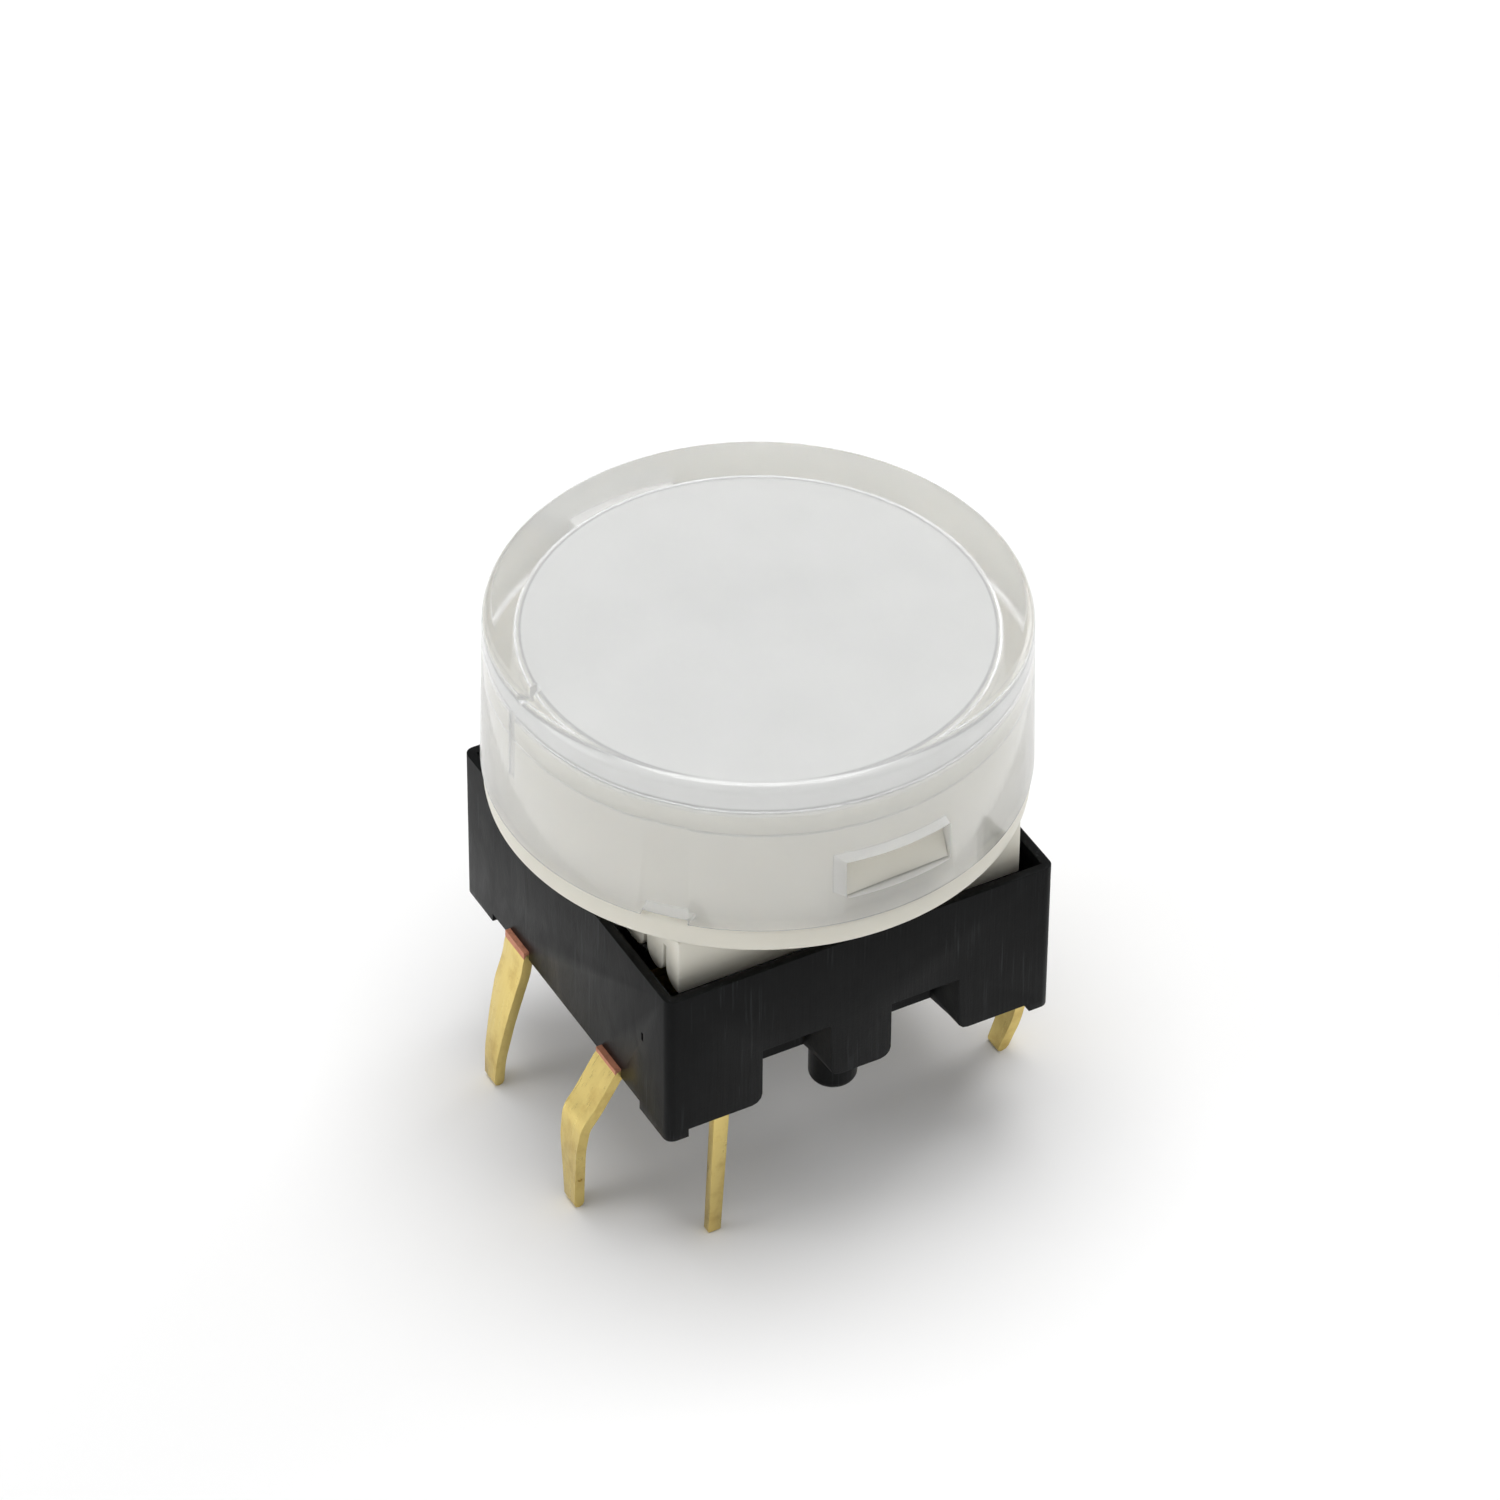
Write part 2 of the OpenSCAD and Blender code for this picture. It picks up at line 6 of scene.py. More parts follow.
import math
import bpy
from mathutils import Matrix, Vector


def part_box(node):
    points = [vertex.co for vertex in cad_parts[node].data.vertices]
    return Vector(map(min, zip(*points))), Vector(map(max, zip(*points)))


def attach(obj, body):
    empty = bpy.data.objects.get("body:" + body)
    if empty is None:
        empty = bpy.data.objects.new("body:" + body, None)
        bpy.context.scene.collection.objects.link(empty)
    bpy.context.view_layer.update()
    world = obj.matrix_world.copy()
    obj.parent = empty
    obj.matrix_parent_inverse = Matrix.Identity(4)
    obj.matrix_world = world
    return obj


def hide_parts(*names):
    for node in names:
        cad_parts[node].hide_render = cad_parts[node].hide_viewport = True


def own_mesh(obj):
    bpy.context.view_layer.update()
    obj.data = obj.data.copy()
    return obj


bl_info = {
    "name": "Illuminated tactile push button switch",
    "version": (1, 0, 0),
    "blender": (4, 5, 0),
    "location": "View3D > Sidebar > Switch",
    "description": "Models the pieces and finishes of a round-capped tactile switch",
    "category": "Object",
}

import bpy
from bpy.props import FloatProperty, FloatVectorProperty, IntProperty, PointerProperty
from mathutils import Matrix, Vector

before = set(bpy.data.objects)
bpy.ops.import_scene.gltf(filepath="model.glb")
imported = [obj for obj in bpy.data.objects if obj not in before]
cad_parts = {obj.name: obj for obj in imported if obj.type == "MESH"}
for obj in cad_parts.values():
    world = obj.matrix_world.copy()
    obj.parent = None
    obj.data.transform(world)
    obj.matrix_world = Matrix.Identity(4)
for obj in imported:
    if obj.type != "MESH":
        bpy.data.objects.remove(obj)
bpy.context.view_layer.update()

BASE_LOW, BASE_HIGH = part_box("base")
DOME_LOW, DOME_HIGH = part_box("click_dome")
SPRING_LOW, SPRING_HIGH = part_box("return_spring")
LED_LOW, LED_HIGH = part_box("led")
PLUNGER_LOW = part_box("plunger")[0]
HOLDER_LOW, HOLDER_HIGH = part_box("cap_holder")
DIFFUSER_LOW, DIFFUSER_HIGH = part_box("diffuser")
FILM_LOW, FILM_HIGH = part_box("legend_film")
CAP_LOW, CAP_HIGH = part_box("lens_cap")

MM = 1000.0
# How far cutters reach past the faces that they go through, and how near counts as the same place.
PAST = 1.0
NEAR = 0.01


def mm(metres):
    """A length of the frame or of a property, in the millimetres that pieces are modelled in."""
    return metres * MM


def length(name, description, default):
    """A size that a user can change."""
    return FloatProperty(
        name=name, description=description, default=default, unit="LENGTH", precision=5
    )


def colour(name, description, default):
    """A colour that a user can change, in linear light."""
    return FloatVectorProperty(
        name=name, description=description, default=default, subtype="COLOR", min=0.0, max=1.0
    )


def angle(name, description, degrees):
    """An angle that a user can change."""
    return FloatProperty(
        name=name, description=description, default=math.radians(degrees), subtype="ANGLE"
    )


class BaseSizes(bpy.types.PropertyGroup):
    """Sizes of the black base"""

    side: length("Side", "Side of the square base", 2 * BASE_HIGH.x)
    underside: length("Underside", "Height of the underside above the leg tips", 0.0042)
    bottom: length("Bottom", "Thickness of the bottom", 0.0022)
    wall: length("Wall", "Thickness of the upright walls", 0.0005)
    top_wall: length("Top wall", "Thickness of the walls' upper part", 0.00025)
    top_wall_depth: length("Top wall depth", "Height of that thinner part", 0.0012)
    edge_radius: length("Edge radius", "Radius of the upright edges", 0.00025)
    foot_height: length("Foot height", "Height of the corner feet", 0.00025)
    foot_length: length("Foot length", "Length of a foot along the side face", 0.0015)
    foot_width: length("Foot width", "Width of a foot", 0.0006)
    tab: length("Tab", "Width of the tab between two notches", 0.00174)
    notch_width: length("Notch width", "Width of a notch", 0.00194)
    notch_height: length("Notch height", "Height of a notch", 0.00173)
    notch_depth: length("Notch depth", "Depth of a notch into the base", 0.0014)
    notch_chamfer: length("Notch chamfer", "Chamfer beside a notch", 0.0003)
    peg_radius: length("Peg radius", "Radius of a locating peg", 0.00063)
    peg_place: length("Peg place", "Distance of a peg from the middle", 0.00409)
    peg_round: length("Peg rounding", "Rounding of a peg's end", 0.00025)
    recess_width: length("Recess width", "Width of the recess for a snap hook", 0.0022)
    recess_height: length("Recess height", "Height of that recess", 0.00159)
    recess_depth: length("Recess depth", "Depth of that recess", 0.00028)
    soft_edge: length("Soft edge", "Width of the softened moulded edges", 0.00005)
    nick: length("Nick", "Height of the nick in the left face", 0.00026)


class TerminalSizes(bpy.types.PropertyGroup):
    """Sizes of the stamped terminals and lamp pins"""

    width: length("Width", "Width of a leg", 0.00104)
    tip_width: length("Tip width", "Width of a leg at its tip", 0.0005)
    taper: length("Taper", "Height above the tips at which a leg starts to taper", 0.003)
    tip_chamfer: length("Tip chamfer", "Rounding of a leg's tip", 0.00014)
    thickness: length("Thickness", "Thickness of the strip", 0.00028)
    pitch: length("Pitch", "Distance between the two legs of a side", 0.005)
    riser: length("Riser", "Distance of the rising part from the middle", 0.0043)
    rim_pad: length("Rim pad", "Inner end of the contact pads under the dome's rim", 0.0029)
    crown_pad: length("Crown pad", "Inner end of the contact pads under its crown", 0.0013)
    bend_radius: length("Bend radius", "Rounding of the bends", 0.00022)
    pin_width: length("Pin width", "Width of a lamp pin", 0.00043)
    pin_thickness: length("Pin thickness", "Thickness of a lamp pin", 0.00025)
    pin_x: length("Pin X", "Distance of a lamp pin from the middle, along the front", 0.00379)
    pin_lean: length("Pin lean", "How far the front pin's tip leans to the left", 0.00016)
    pin_narrow: length("Pin narrowing", "How much narrower a pin is at its tip", 0.00008)
    pin_y: length("Pin Y", "Distance of a lamp pin from the middle, towards the front", 0.00507)
    arm_height: length("Arm height", "Height of the buried arms above the underside", 0.0009)
    arm_y: length("Arm Y", "Distance of the buried arms from the middle", 0.00332)
    soft_edge: length("Soft edge", "Width of the softened stamped edges", 0.00004)
    pit: length("Pit", "Radius of the pit in the front left leg", 0.00006)


class InsideSizes(bpy.types.PropertyGroup):
    """Sizes of the lamp, the return spring and the click dome"""

    lamp_radius: length("Lamp radius", "Radius of the lamp's round body", 0.0015)
    lamp_rim: length("Lamp rim", "Width of the lamp's rim", 0.0002)
    lamp_rim_height: length("Lamp rim height", "Height of the lamp's rim", 0.0004)
    lead_pitch: length("Lead pitch", "Distance between the lamp's leads", 0.00254)
    lead_width: length("Lead width", "Width of a lead", 0.00045)
    spring_radius: length("Spring radius", "Radius at the middle of the wire", 0.002)
    spring_wire: length("Spring wire", "Diameter of the spring's wire", 0.00022)
    spring_turns: FloatProperty(name="Spring turns", description="Number of turns", default=3.5)
    dome_hole: length("Dome hole", "Radius of the hole in the click dome", 0.00235)
    dome_thickness: length("Dome thickness", "Thickness of the click dome", 0.00012)
    travel: length("Travel", "Travel of the button", 0.0006)


class PlungerSizes(bpy.types.PropertyGroup):
    """Sizes of the white plunger"""

    half: length("Half side", "Half the side of the skirt", 0.00485)
    skirt: length("Skirt", "Thickness of the skirt", 0.0005)
    skirt_dip: length("Skirt dip", "How far the skirt reaches down inside the base", 0.0004)
    tooth_round: length("Tooth rounding", "Rounding of the skirt's ends beside the slots", 0.00042)
    roof: length("Roof", "Thickness of the roof", 0.0006)
    spigot_half: length("Spigot half side", "Half the side of the spigot", 0.0024)
    spigot_height: length("Spigot height", "Height of the spigot", 0.0016)
    bore: length("Bore", "Radius of the bore round the lamp", 0.00175)
    ring: length("Ring", "Wall of the ring that presses the dome", 0.0006)
    snap_width: length("Snap width", "Width of a snap leg", 0.0018)
    hook: length("Hook", "How far a hook stands out", 0.00024)
    hook_height: length("Hook height", "Height of a hook", 0.0006)
    soft_edge: length("Soft edge", "Width of the softened edges", 0.00005)


class HolderSizes(bpy.types.PropertyGroup):
    """Sizes of the holder under the clear cap"""

    flange: length("Flange", "Thickness of the flange", 0.00075)
    flange_round: length("Flange rounding", "Radius round the flange's edges", 0.00015)
    cup_radius: length("Cup radius", "Outer radius of the cup", 0.00605)
    cup_wall: length("Cup wall", "Thickness of the cup's wall", 0.00065)
    socket_wall: length("Socket wall", "Wall round the socket for the spigot", 0.0007)
    lug_width: length("Lug width", "Width of a latch lug", 0.0029)
    lug_height: length("Lug height", "Height of a latch lug", 0.00105)
    lug_reach: length("Lug reach", "Radius that a lug's lower edge reaches", 0.00671)
    lug_lip: length("Lug lip", "Radius that a lug's upper edge reaches", 0.00625)
    collar: length("Collar", "Depth of the diffuser's collar inside the cup", 0.0004)
    fit: length("Fit", "Gap between pieces pushed together", 0.00002)


class CapSizes(bpy.types.PropertyGroup):
    """Sizes of the clear cap"""

    wall: length("Wall", "Thickness of the cap's wall, which touches the cup", 0.00091)
    top: length("Top", "Thickness of the cap's top", 0.00112)
    taper: length("Taper", "How much the cap narrows towards its top", 0.0001)
    rounding: length("Rounding", "Radius round the cap's top", 0.00028)
    window_height: length("Window height", "Height of the windows' lower edges", 0.00078)
    window_angle: angle("Window angle", "Turn of the windows and lugs", 2.1)
    window_gap: length("Window gap", "Clearance round a lug", 0.00003)
    rib_width: length("Rib width", "Width of the key rib", 0.00026)
    rib_out: length("Rib depth", "How far the key rib stands out inside", 0.00019)
    rib_height: length("Rib height", "Height of the key rib", 0.0019)
    rib_angle: angle("Rib angle", "Direction of the key rib", 175)
    pry_angle: angle("Pry angle", "Direction of the pry notch", -138)
    pry_width: length("Pry notch width", "Width of the notch for prying the cap off", 0.0012)
    pry_height: length("Pry notch height", "Height of that notch", 0.00016)
    segments: IntProperty(name="Segments", description="Sides of the round pieces", default=160)


class Finishes(bpy.types.PropertyGroup):
    """Colours of the switch"""

    black: colour("Black plastic", "Colour of the base", (0.0030, 0.0033, 0.0035))
    gold: colour("Gold plating", "Colour of the terminals", (0.76, 0.60, 0.22))
    copper: colour("Copper", "Colour of the terminals' cut ends", (0.60, 0.25, 0.15))
    white: colour("White plastic", "Colour of the holder and plunger", (0.745, 0.722, 0.635))
    milk: colour("Milky plastic", "Colour of the diffuser", (0.78, 0.76, 0.675))
    resin: colour("Resin", "Colour of the lamp", (0.86, 0.86, 0.80))
    film: colour("Film", "Colour of the legend film", (0.675, 0.677, 0.665))
    # Painted shade: this dark grey stands in for the shadow in the small step between the film's
    # edge and the diffuser.
    film_edge: colour("Film edge", "Colour of the film's cut edge", (0.36, 0.36, 0.35))
    clear: colour("Clear plastic", "Tint of the clear cap", (0.975, 0.98, 0.98))
    frost: colour("Frosted plastic", "Tint of the dull faces round the windows", (0.82, 0.82, 0.80))
    steel: colour("Steel", "Colour of the spring and dome", (0.62, 0.63, 0.64))
    floor: colour("Floor", "Colour of the floor", (0.90, 0.90, 0.90))


class StageSizes(bpy.types.PropertyGroup):
    """The camera at the photograph's angle, and the floor"""

    azimuth: angle("Azimuth", "Camera's direction round the switch", -29.0)
    elevation: angle("Elevation", "Camera's angle above the floor", 40.37)
    roll: angle("Roll", "Camera's roll", 0.5)
    distance: length("Distance", "Distance from the aimed point", 0.20657)
    lens: FloatProperty(name="Lens", description="Focal length in millimetres", default=193.8)
    aim: FloatVectorProperty(name="Aim", description="Point at the middle of the frame",
                             default=(0.00135, 0.00281, 0.00786), subtype="TRANSLATION")
    floor_size: length("Floor size", "Side of the floor", 4.0)
    world: FloatProperty(name="World", description="Strength of the white surroundings",
                         default=0.44)
    world_seen_through: FloatProperty(name="World seen through", default=1.08,
                                      description="Its strength through the clear cap")


def fresh():
    """Leaves edit mode and deselects everything."""
    if bpy.context.object and bpy.context.object.mode != "OBJECT":
        bpy.ops.object.mode_set(mode="OBJECT")
    bpy.ops.object.select_all(action="DESELECT")


def take(piece):
    """Makes one piece the only selected and the active one."""
    fresh()
    piece.select_set(True)
    bpy.context.view_layer.objects.active = piece


def edit(piece):
    """Opens a piece in edit mode with everything selected."""
    take(piece)
    bpy.ops.object.mode_set(mode="EDIT")
    bpy.ops.mesh.select_all(action="SELECT")


def leave(piece):
    """Closes edit mode."""
    bpy.ops.object.mode_set(mode="OBJECT")
    return piece


def apply_transform(piece):
    """Puts a piece's place, turn and size into its mesh."""
    take(piece)
    bpy.ops.object.transform_apply(location=True, rotation=True, scale=True)
    return piece


def settle(name):
    """Names the primitive that was just made and puts its place and size into its mesh."""
    piece = bpy.context.object
    piece.name = name
    piece.data.name = name
    return apply_transform(piece)


def with_modifier(piece, kind, **settings):
    """Adds one modifier and applies it."""
    take(piece)
    modifier = piece.modifiers.new(kind.title(), kind)
    for key, value in settings.items():
        setattr(modifier, key, value)
    bpy.ops.object.modifier_apply(modifier=modifier.name)
    return piece


def block(name, corner, opposite):
    """A box between two opposite corners, in millimetres."""
    fresh()
    low, high = Vector(map(min, corner, opposite)), Vector(map(max, corner, opposite))
    bpy.ops.mesh.primitive_cube_add(size=1, location=(low + high) / 2, scale=high - low)
    return settle(name)


def pillar(name, half_x, half_y, low, high):
    """An upright box round the button's axis."""
    return block(name, (-half_x, -half_y, low), (half_x, half_y, high))


def rod(name, radius, low, high):
    """An upright cylinder round the button's axis."""
    fresh()
    bpy.ops.mesh.primitive_cylinder_add(
        vertices=96, radius=radius, depth=high - low, location=(0, 0, (low + high) / 2)
    )
    return settle(name)


def ball(name, radius, place):
    """A small ball, which cuts pits."""
    fresh()
    bpy.ops.mesh.primitive_uv_sphere_add(segments=16, ring_count=8, radius=radius, location=place)
    return settle(name)


def close_and_face_out(piece, fill=True):
    """Merges doubles, closes open ends and turns all faces outwards."""
    edit(piece)
    bpy.ops.mesh.remove_doubles(threshold=0.0005)
    if fill:
        bpy.ops.mesh.fill_holes(sides=0)
    bpy.ops.mesh.select_all(action="SELECT")
    bpy.ops.mesh.normals_make_consistent(inside=False)
    return leave(piece)


def lathe(name, rings, segments, ring_closed=False):
    """A turned piece: a first circle is extruded from ring to ring, each a radius and a height."""
    fresh()
    radius, height = rings[0]
    bpy.ops.mesh.primitive_circle_add(
        vertices=segments, radius=radius, location=(0, 0, height), fill_type="NOTHING"
    )
    piece = settle(name)
    edit(piece)
    bpy.ops.mesh.select_mode(type="EDGE")
    for next_radius, next_height in rings[1:]:
        bpy.ops.mesh.extrude_region_move(
            TRANSFORM_OT_translate={"value": (0, 0, next_height - height)}
        )
        share = next_radius / radius
        bpy.ops.transform.resize(value=(share, share, 1), center_override=(0, 0, next_height))
        radius, height = next_radius, next_height
    if ring_closed:
        bpy.ops.mesh.select_all(action="DESELECT")
        bpy.ops.mesh.select_non_manifold()
        bpy.ops.mesh.bridge_edge_loops()
    return close_and_face_out(leave(piece), fill=not ring_closed)


def arc(centre, radius, start, end, steps):
    """Points round a corner of a profile, from one angle to another, in degrees."""
    angles = [math.radians(start + (end - start) * i / steps) for i in range(steps + 1)]
    return [
        (centre[0] + radius * math.cos(a), centre[1] + radius * math.sin(a)) for a in angles
    ]


def joined(piece, tools, operation):
    """Cuts other pieces out of this one, or adds them, and removes them."""
    for tool in tools:
        with_modifier(piece, "BOOLEAN", object=tool, operation=operation, solver="EXACT")
        bpy.data.objects.remove(tool, do_unlink=True)
    return piece


def cut(piece, *tools):
    """Cuts other pieces out of this one."""
    return joined(piece, tools, "DIFFERENCE")


def add(piece, *tools):
    """Grows other pieces onto this one."""
    return joined(piece, tools, "UNION")


def turned(piece, angle):
    """Turns a piece about the button's axis."""
    piece.rotation_euler = (0, 0, angle)
    return apply_transform(piece)


def pick_edges(piece, wanted):
    """Opens a piece in edit mode with the edges selected that the test wants."""
    edit(piece)
    bpy.ops.mesh.select_mode(type="EDGE")
    bpy.ops.mesh.select_all(action="DESELECT")
    leave(piece)
    points = piece.data.vertices
    for edge in piece.data.edges:
        edge.select = wanted(*(points[i].co for i in edge.vertices))
    bpy.ops.object.mode_set(mode="EDIT")


def round_edges(piece, wanted, size, segments):
    """Bevels the edges that the test wants."""
    pick_edges(piece, wanted)
    bpy.ops.mesh.bevel(offset=size, segments=segments, profile=0.5, affect="EDGES")
    return leave(piece)


def at_tip(a, b):
    """Whether an edge lies in the plane that the leg tips stand on."""
    return a.z < NEAR and b.z < NEAR


def soften(piece, size, angle=50.0):
    """Softens all the sharp edges a little, as moulding and stamping do."""
    return with_modifier(
        piece, "BEVEL", width=size, segments=2, limit_method="ANGLE",
        angle_limit=math.radians(angle), use_clamp_overlap=True, harden_normals=False,
    )


def finish_piece(piece, body, finish, node_name, angle=50.0):
    """Brings a piece to metres, gives it its finish and sets it on its body."""
    close_and_face_out(piece, fill=False)
    piece.scale = (1 / MM, 1 / MM, 1 / MM)
    apply_transform(piece)
    bpy.ops.object.shade_smooth_by_angle(angle=math.radians(angle))
    piece.data.materials.clear()
    piece.data.materials.append(finish_named(finish))
    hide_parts(node_name)
    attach(piece, body)
    fresh()
    return piece


def second_finish(piece, finish, wanted):
    """Gives a finished piece's faces that the test wants another finish."""
    piece.data.materials.append(finish_named(finish))
    for face in piece.data.polygons:
        if wanted(face.center * MM, face.normal):
            face.material_index = 1


def new_finish(name, base, roughness, **sockets):
    """A material with one main shader, and its node tree."""
    finish = bpy.data.materials.new(name)
    finish.use_nodes = True
    return plug(finish, Base_Color=(*base, 1), Roughness=roughness, **sockets)


def feed(owner, socket, value):
    """Joins another node's output to a socket, or sets the socket to a value."""
    if isinstance(value, bpy.types.NodeSocket):
        owner.node_tree.links.new(value, socket)
    else:
        socket.default_value = value


def node(owner, kind, **inputs):
    """A new node in a material or world, with its inputs fed."""
    made = owner.node_tree.nodes.new("ShaderNode" + kind)
    for name, value in inputs.items():
        feed(owner, made.inputs[name.replace("_", " ")], value)
    return made


def noise(finish, scale, detail=3.0, roughness=0.55, stretch=(1, 1, 1), distortion=0.0):
    """A noise pattern in Object coordinates, whose scale is in grains a metre."""
    place = node(finish, "TexCoord").outputs["Object"]
    stretched = node(finish, "Mapping", Vector=place, Scale=stretch).outputs["Vector"]
    texture = node(finish, "TexNoise", Vector=stretched, Scale=scale, Detail=detail,
                   Roughness=roughness, Distortion=distortion)
    return texture.outputs["Fac"]


def ranged(finish, value, low, high, new_low=0.0, new_high=1.0):
    """Maps a pattern's values to another range."""
    mapping = node(finish, "MapRange", Value=value, From_Min=low, From_Max=high,
                   To_Min=new_low, To_Max=new_high)
    return mapping.outputs["Result"]


def blended(finish, share, first, second):
    """A colour between two, by a pattern."""
    mix = node(finish, "Mix", Factor=share)
    mix.data_type = "RGBA"
    colours = [socket for socket in mix.inputs if socket.type == "RGBA"]
    for socket, value in zip(colours, (first, second)):
        feed(finish, socket, value if isinstance(value, bpy.types.NodeSocket) else (*value, 1))
    return [socket for socket in mix.outputs if socket.type == "RGBA"][0]


def bumped(finish, height, distance, strength, **under):
    """A bump from a height pattern, over another bump if one is given as its Normal."""
    bump = node(finish, "Bump", Height=height, Distance=distance, Strength=strength, **under)
    return bump.outputs["Normal"]


def plug(finish, **patterns):
    """Feeds patterns to the main shader and gives back the finish."""
    for name, value in patterns.items():
        shader = finish.node_tree.nodes["Principled BSDF"]
        feed(finish, shader.inputs[name.replace("_", " ")], value)
    return finish


def both(finish, first, second):
    """The product of two patterns."""
    product = node(finish, "Math")
    product.operation = "MULTIPLY"
    feed(finish, product.inputs[0], first)
    feed(finish, product.inputs[1], second)
    return product.outputs["Value"]


def shade_of(base, factor):
    """The same colour, lighter or darker."""
    return tuple(min(channel * factor, 1.0) for channel in base)


def black_plastic(name, base):
    """Moulded black plastic with a fine grain, small scratches and paler rubbed patches."""
    finish = new_finish(name, base, 0.45, Specular_IOR_Level=0.1)
    patches = ranged(finish, noise(finish, 900, 4), 0.35, 0.7)
    mottled = blended(finish, patches, shade_of(base, 0.85), shade_of(base, 1.5))
    upright = ranged(finish, noise(finish, 2600, 3, 0.6, stretch=(3, 3, 0.12)), 0.58, 0.68)
    places = ranged(finish, noise(finish, 380, 2), 0.46, 0.62, 0.0, 0.8)
    scored = blended(finish, both(finish, upright, places), mottled, shade_of(base, 7.0))
    grain = noise(finish, 16000, 2)
    scratches = noise(finish, 1200, 5, 0.65, stretch=(8, 1, 0.35), distortion=0.6)
    fine = bumped(finish, grain, 0.000006, 0.5)
    return plug(finish, Base_Color=scored,
                Roughness=ranged(finish, scratches, 0.3, 0.75, 0.30, 0.46),
                Normal=bumped(finish, scratches, 0.00002, 0.5, Normal=fine))


def gold_plating(name, base):
    """Satin gold over a stamped strip, with darker tarnish in patches and drawn lines."""
    finish = new_finish(name, base, 0.32, Metallic=1.0)
    tarnish = ranged(finish, noise(finish, 1400, 4, 0.6), 0.5, 0.85)
    darker = (base[0] * 0.7, base[1] * 0.6, base[2] * 0.5)
    lines = noise(finish, 3000, 3, 0.6, stretch=(1, 5, 0.3))
    return plug(finish, Base_Color=blended(finish, tarnish, base, darker),
                Roughness=ranged(finish, lines, 0.3, 0.7, 0.24, 0.46),
                Normal=bumped(finish, lines, 0.00001, 0.4))


def cut_copper(name, base):
    """Bare copper where the strip was cut from its frame."""
    finish = new_finish(name, base, 0.6, Metallic=0.15)
    stains = ranged(finish, noise(finish, 6000, 4, 0.65), 0.5, 0.75)
    return plug(finish, Base_Color=blended(finish, stains, base, shade_of(base, 0.6)),
                Normal=bumped(finish, stains, 0.00002, 0.5))


def spring_steel(name, base):
    """Bright drawn steel."""
    finish = new_finish(name, base, 0.25, Metallic=1.0)
    lines = noise(finish, 8000, 2, 0.5)
    return plug(finish, Roughness=ranged(finish, lines, 0.3, 0.7, 0.2, 0.34))


def white_plastic(name, base, roughness=0.38, depth=0.25):
    """Moulded white plastic that lets a little light in, with faint flow marks."""
    finish = new_finish(name, base, roughness, Subsurface_Weight=depth,
                        Subsurface_Radius=(1.0, 0.9, 0.8), Subsurface_Scale=0.0006)
    flow = ranged(finish, noise(finish, 350, 3), 0.35, 0.65)
    grain = noise(finish, 9000, 2)
    return plug(
        finish, Base_Color=blended(finish, flow, shade_of(base, 0.965), shade_of(base, 1.02)),
        Roughness=ranged(finish, grain, 0.3, 0.7, roughness - 0.05, roughness + 0.07),
        Normal=bumped(finish, grain, 0.000003, 0.4))


def clear_plastic(name, base):
    """Clear moulded plastic, slightly milky, with a smooth and slightly wavy surface."""
    finish = new_finish(name, base, 0.16, IOR=1.49, Transmission_Weight=0.75)
    waves = bumped(finish, noise(finish, 260, 2), 0.00001, 0.3)
    smudges = ranged(finish, noise(finish, 1500, 4), 0.45, 0.8, 0.13, 0.22)
    return plug(finish, Normal=waves, Roughness=smudges)


def frosted_plastic(name, base):
    """The clear plastic where the mould's side cores left it dull, round the windows."""
    finish = new_finish(name, base, 0.5, IOR=1.49, Transmission_Weight=0.3)
    return plug(finish, Normal=bumped(finish, noise(finish, 9000, 2), 0.000004, 0.5))


def floor_finish(name, base):
    """A plain pale floor with hardly any grain."""
    finish = new_finish(name, base, 0.9)
    mottle = ranged(finish, noise(finish, 60, 3), 0.3, 0.7)
    return plug(finish, Base_Color=blended(finish, mottle, shade_of(base, 0.995), base))


# Each finish: its name, what makes it, its colour in Finishes, and the white plastics' roughness
# and share of light let in.
FINISHES = {
    "matte_black": (black_plastic, "black"),
    "satin_gold": (gold_plating, "gold"),
    "bare_copper": (cut_copper, "copper"),
    "drawn_steel": (spring_steel, "steel"),
    "cast_resin": (white_plastic, "resin", 0.15, 0.5),
    "moulded_white": (white_plastic, "white"),
    "milky_sheet": (white_plastic, "milk", 0.5, 0.1),
    "printed_film": (white_plastic, "film", 0.45, 0.0),
    "film_cut_edge": (white_plastic, "film_edge", 0.5, 0.0),
    "polished_clear": (clear_plastic, "clear"),
    "frosted_clear": (frosted_plastic, "frost"),
    "pale_floor": (floor_finish, "floor"),
}


def finish_named(name):
    """A finish that is made once and shared by the pieces that have it."""
    maker, key, *values = FINISHES[name]
    base = getattr(bpy.context.scene.switch_finishes, key)
    return bpy.data.materials.get(name) or maker(name, base, *values)


def rounded_path(line, radius, steps=5):
    """A bent line with each corner replaced by a short curve, none of which meets the next."""
    points, apart = [Vector(p) for p in line], 2.2
    path = [points[0]]
    for before, corner, after in zip(points, points[1:], points[2:]):
        into, out = before - corner, after - corner
        start = corner + into.normalized() * min(radius, into.length / apart)
        end = corner + out.normalized() * min(radius, out.length / apart)
        for i in range(steps + 1):
            t = i / steps
            path.append((1 - t) ** 2 * start + 2 * t * (1 - t) * corner + t * t * end)
    return path + [points[-1]]


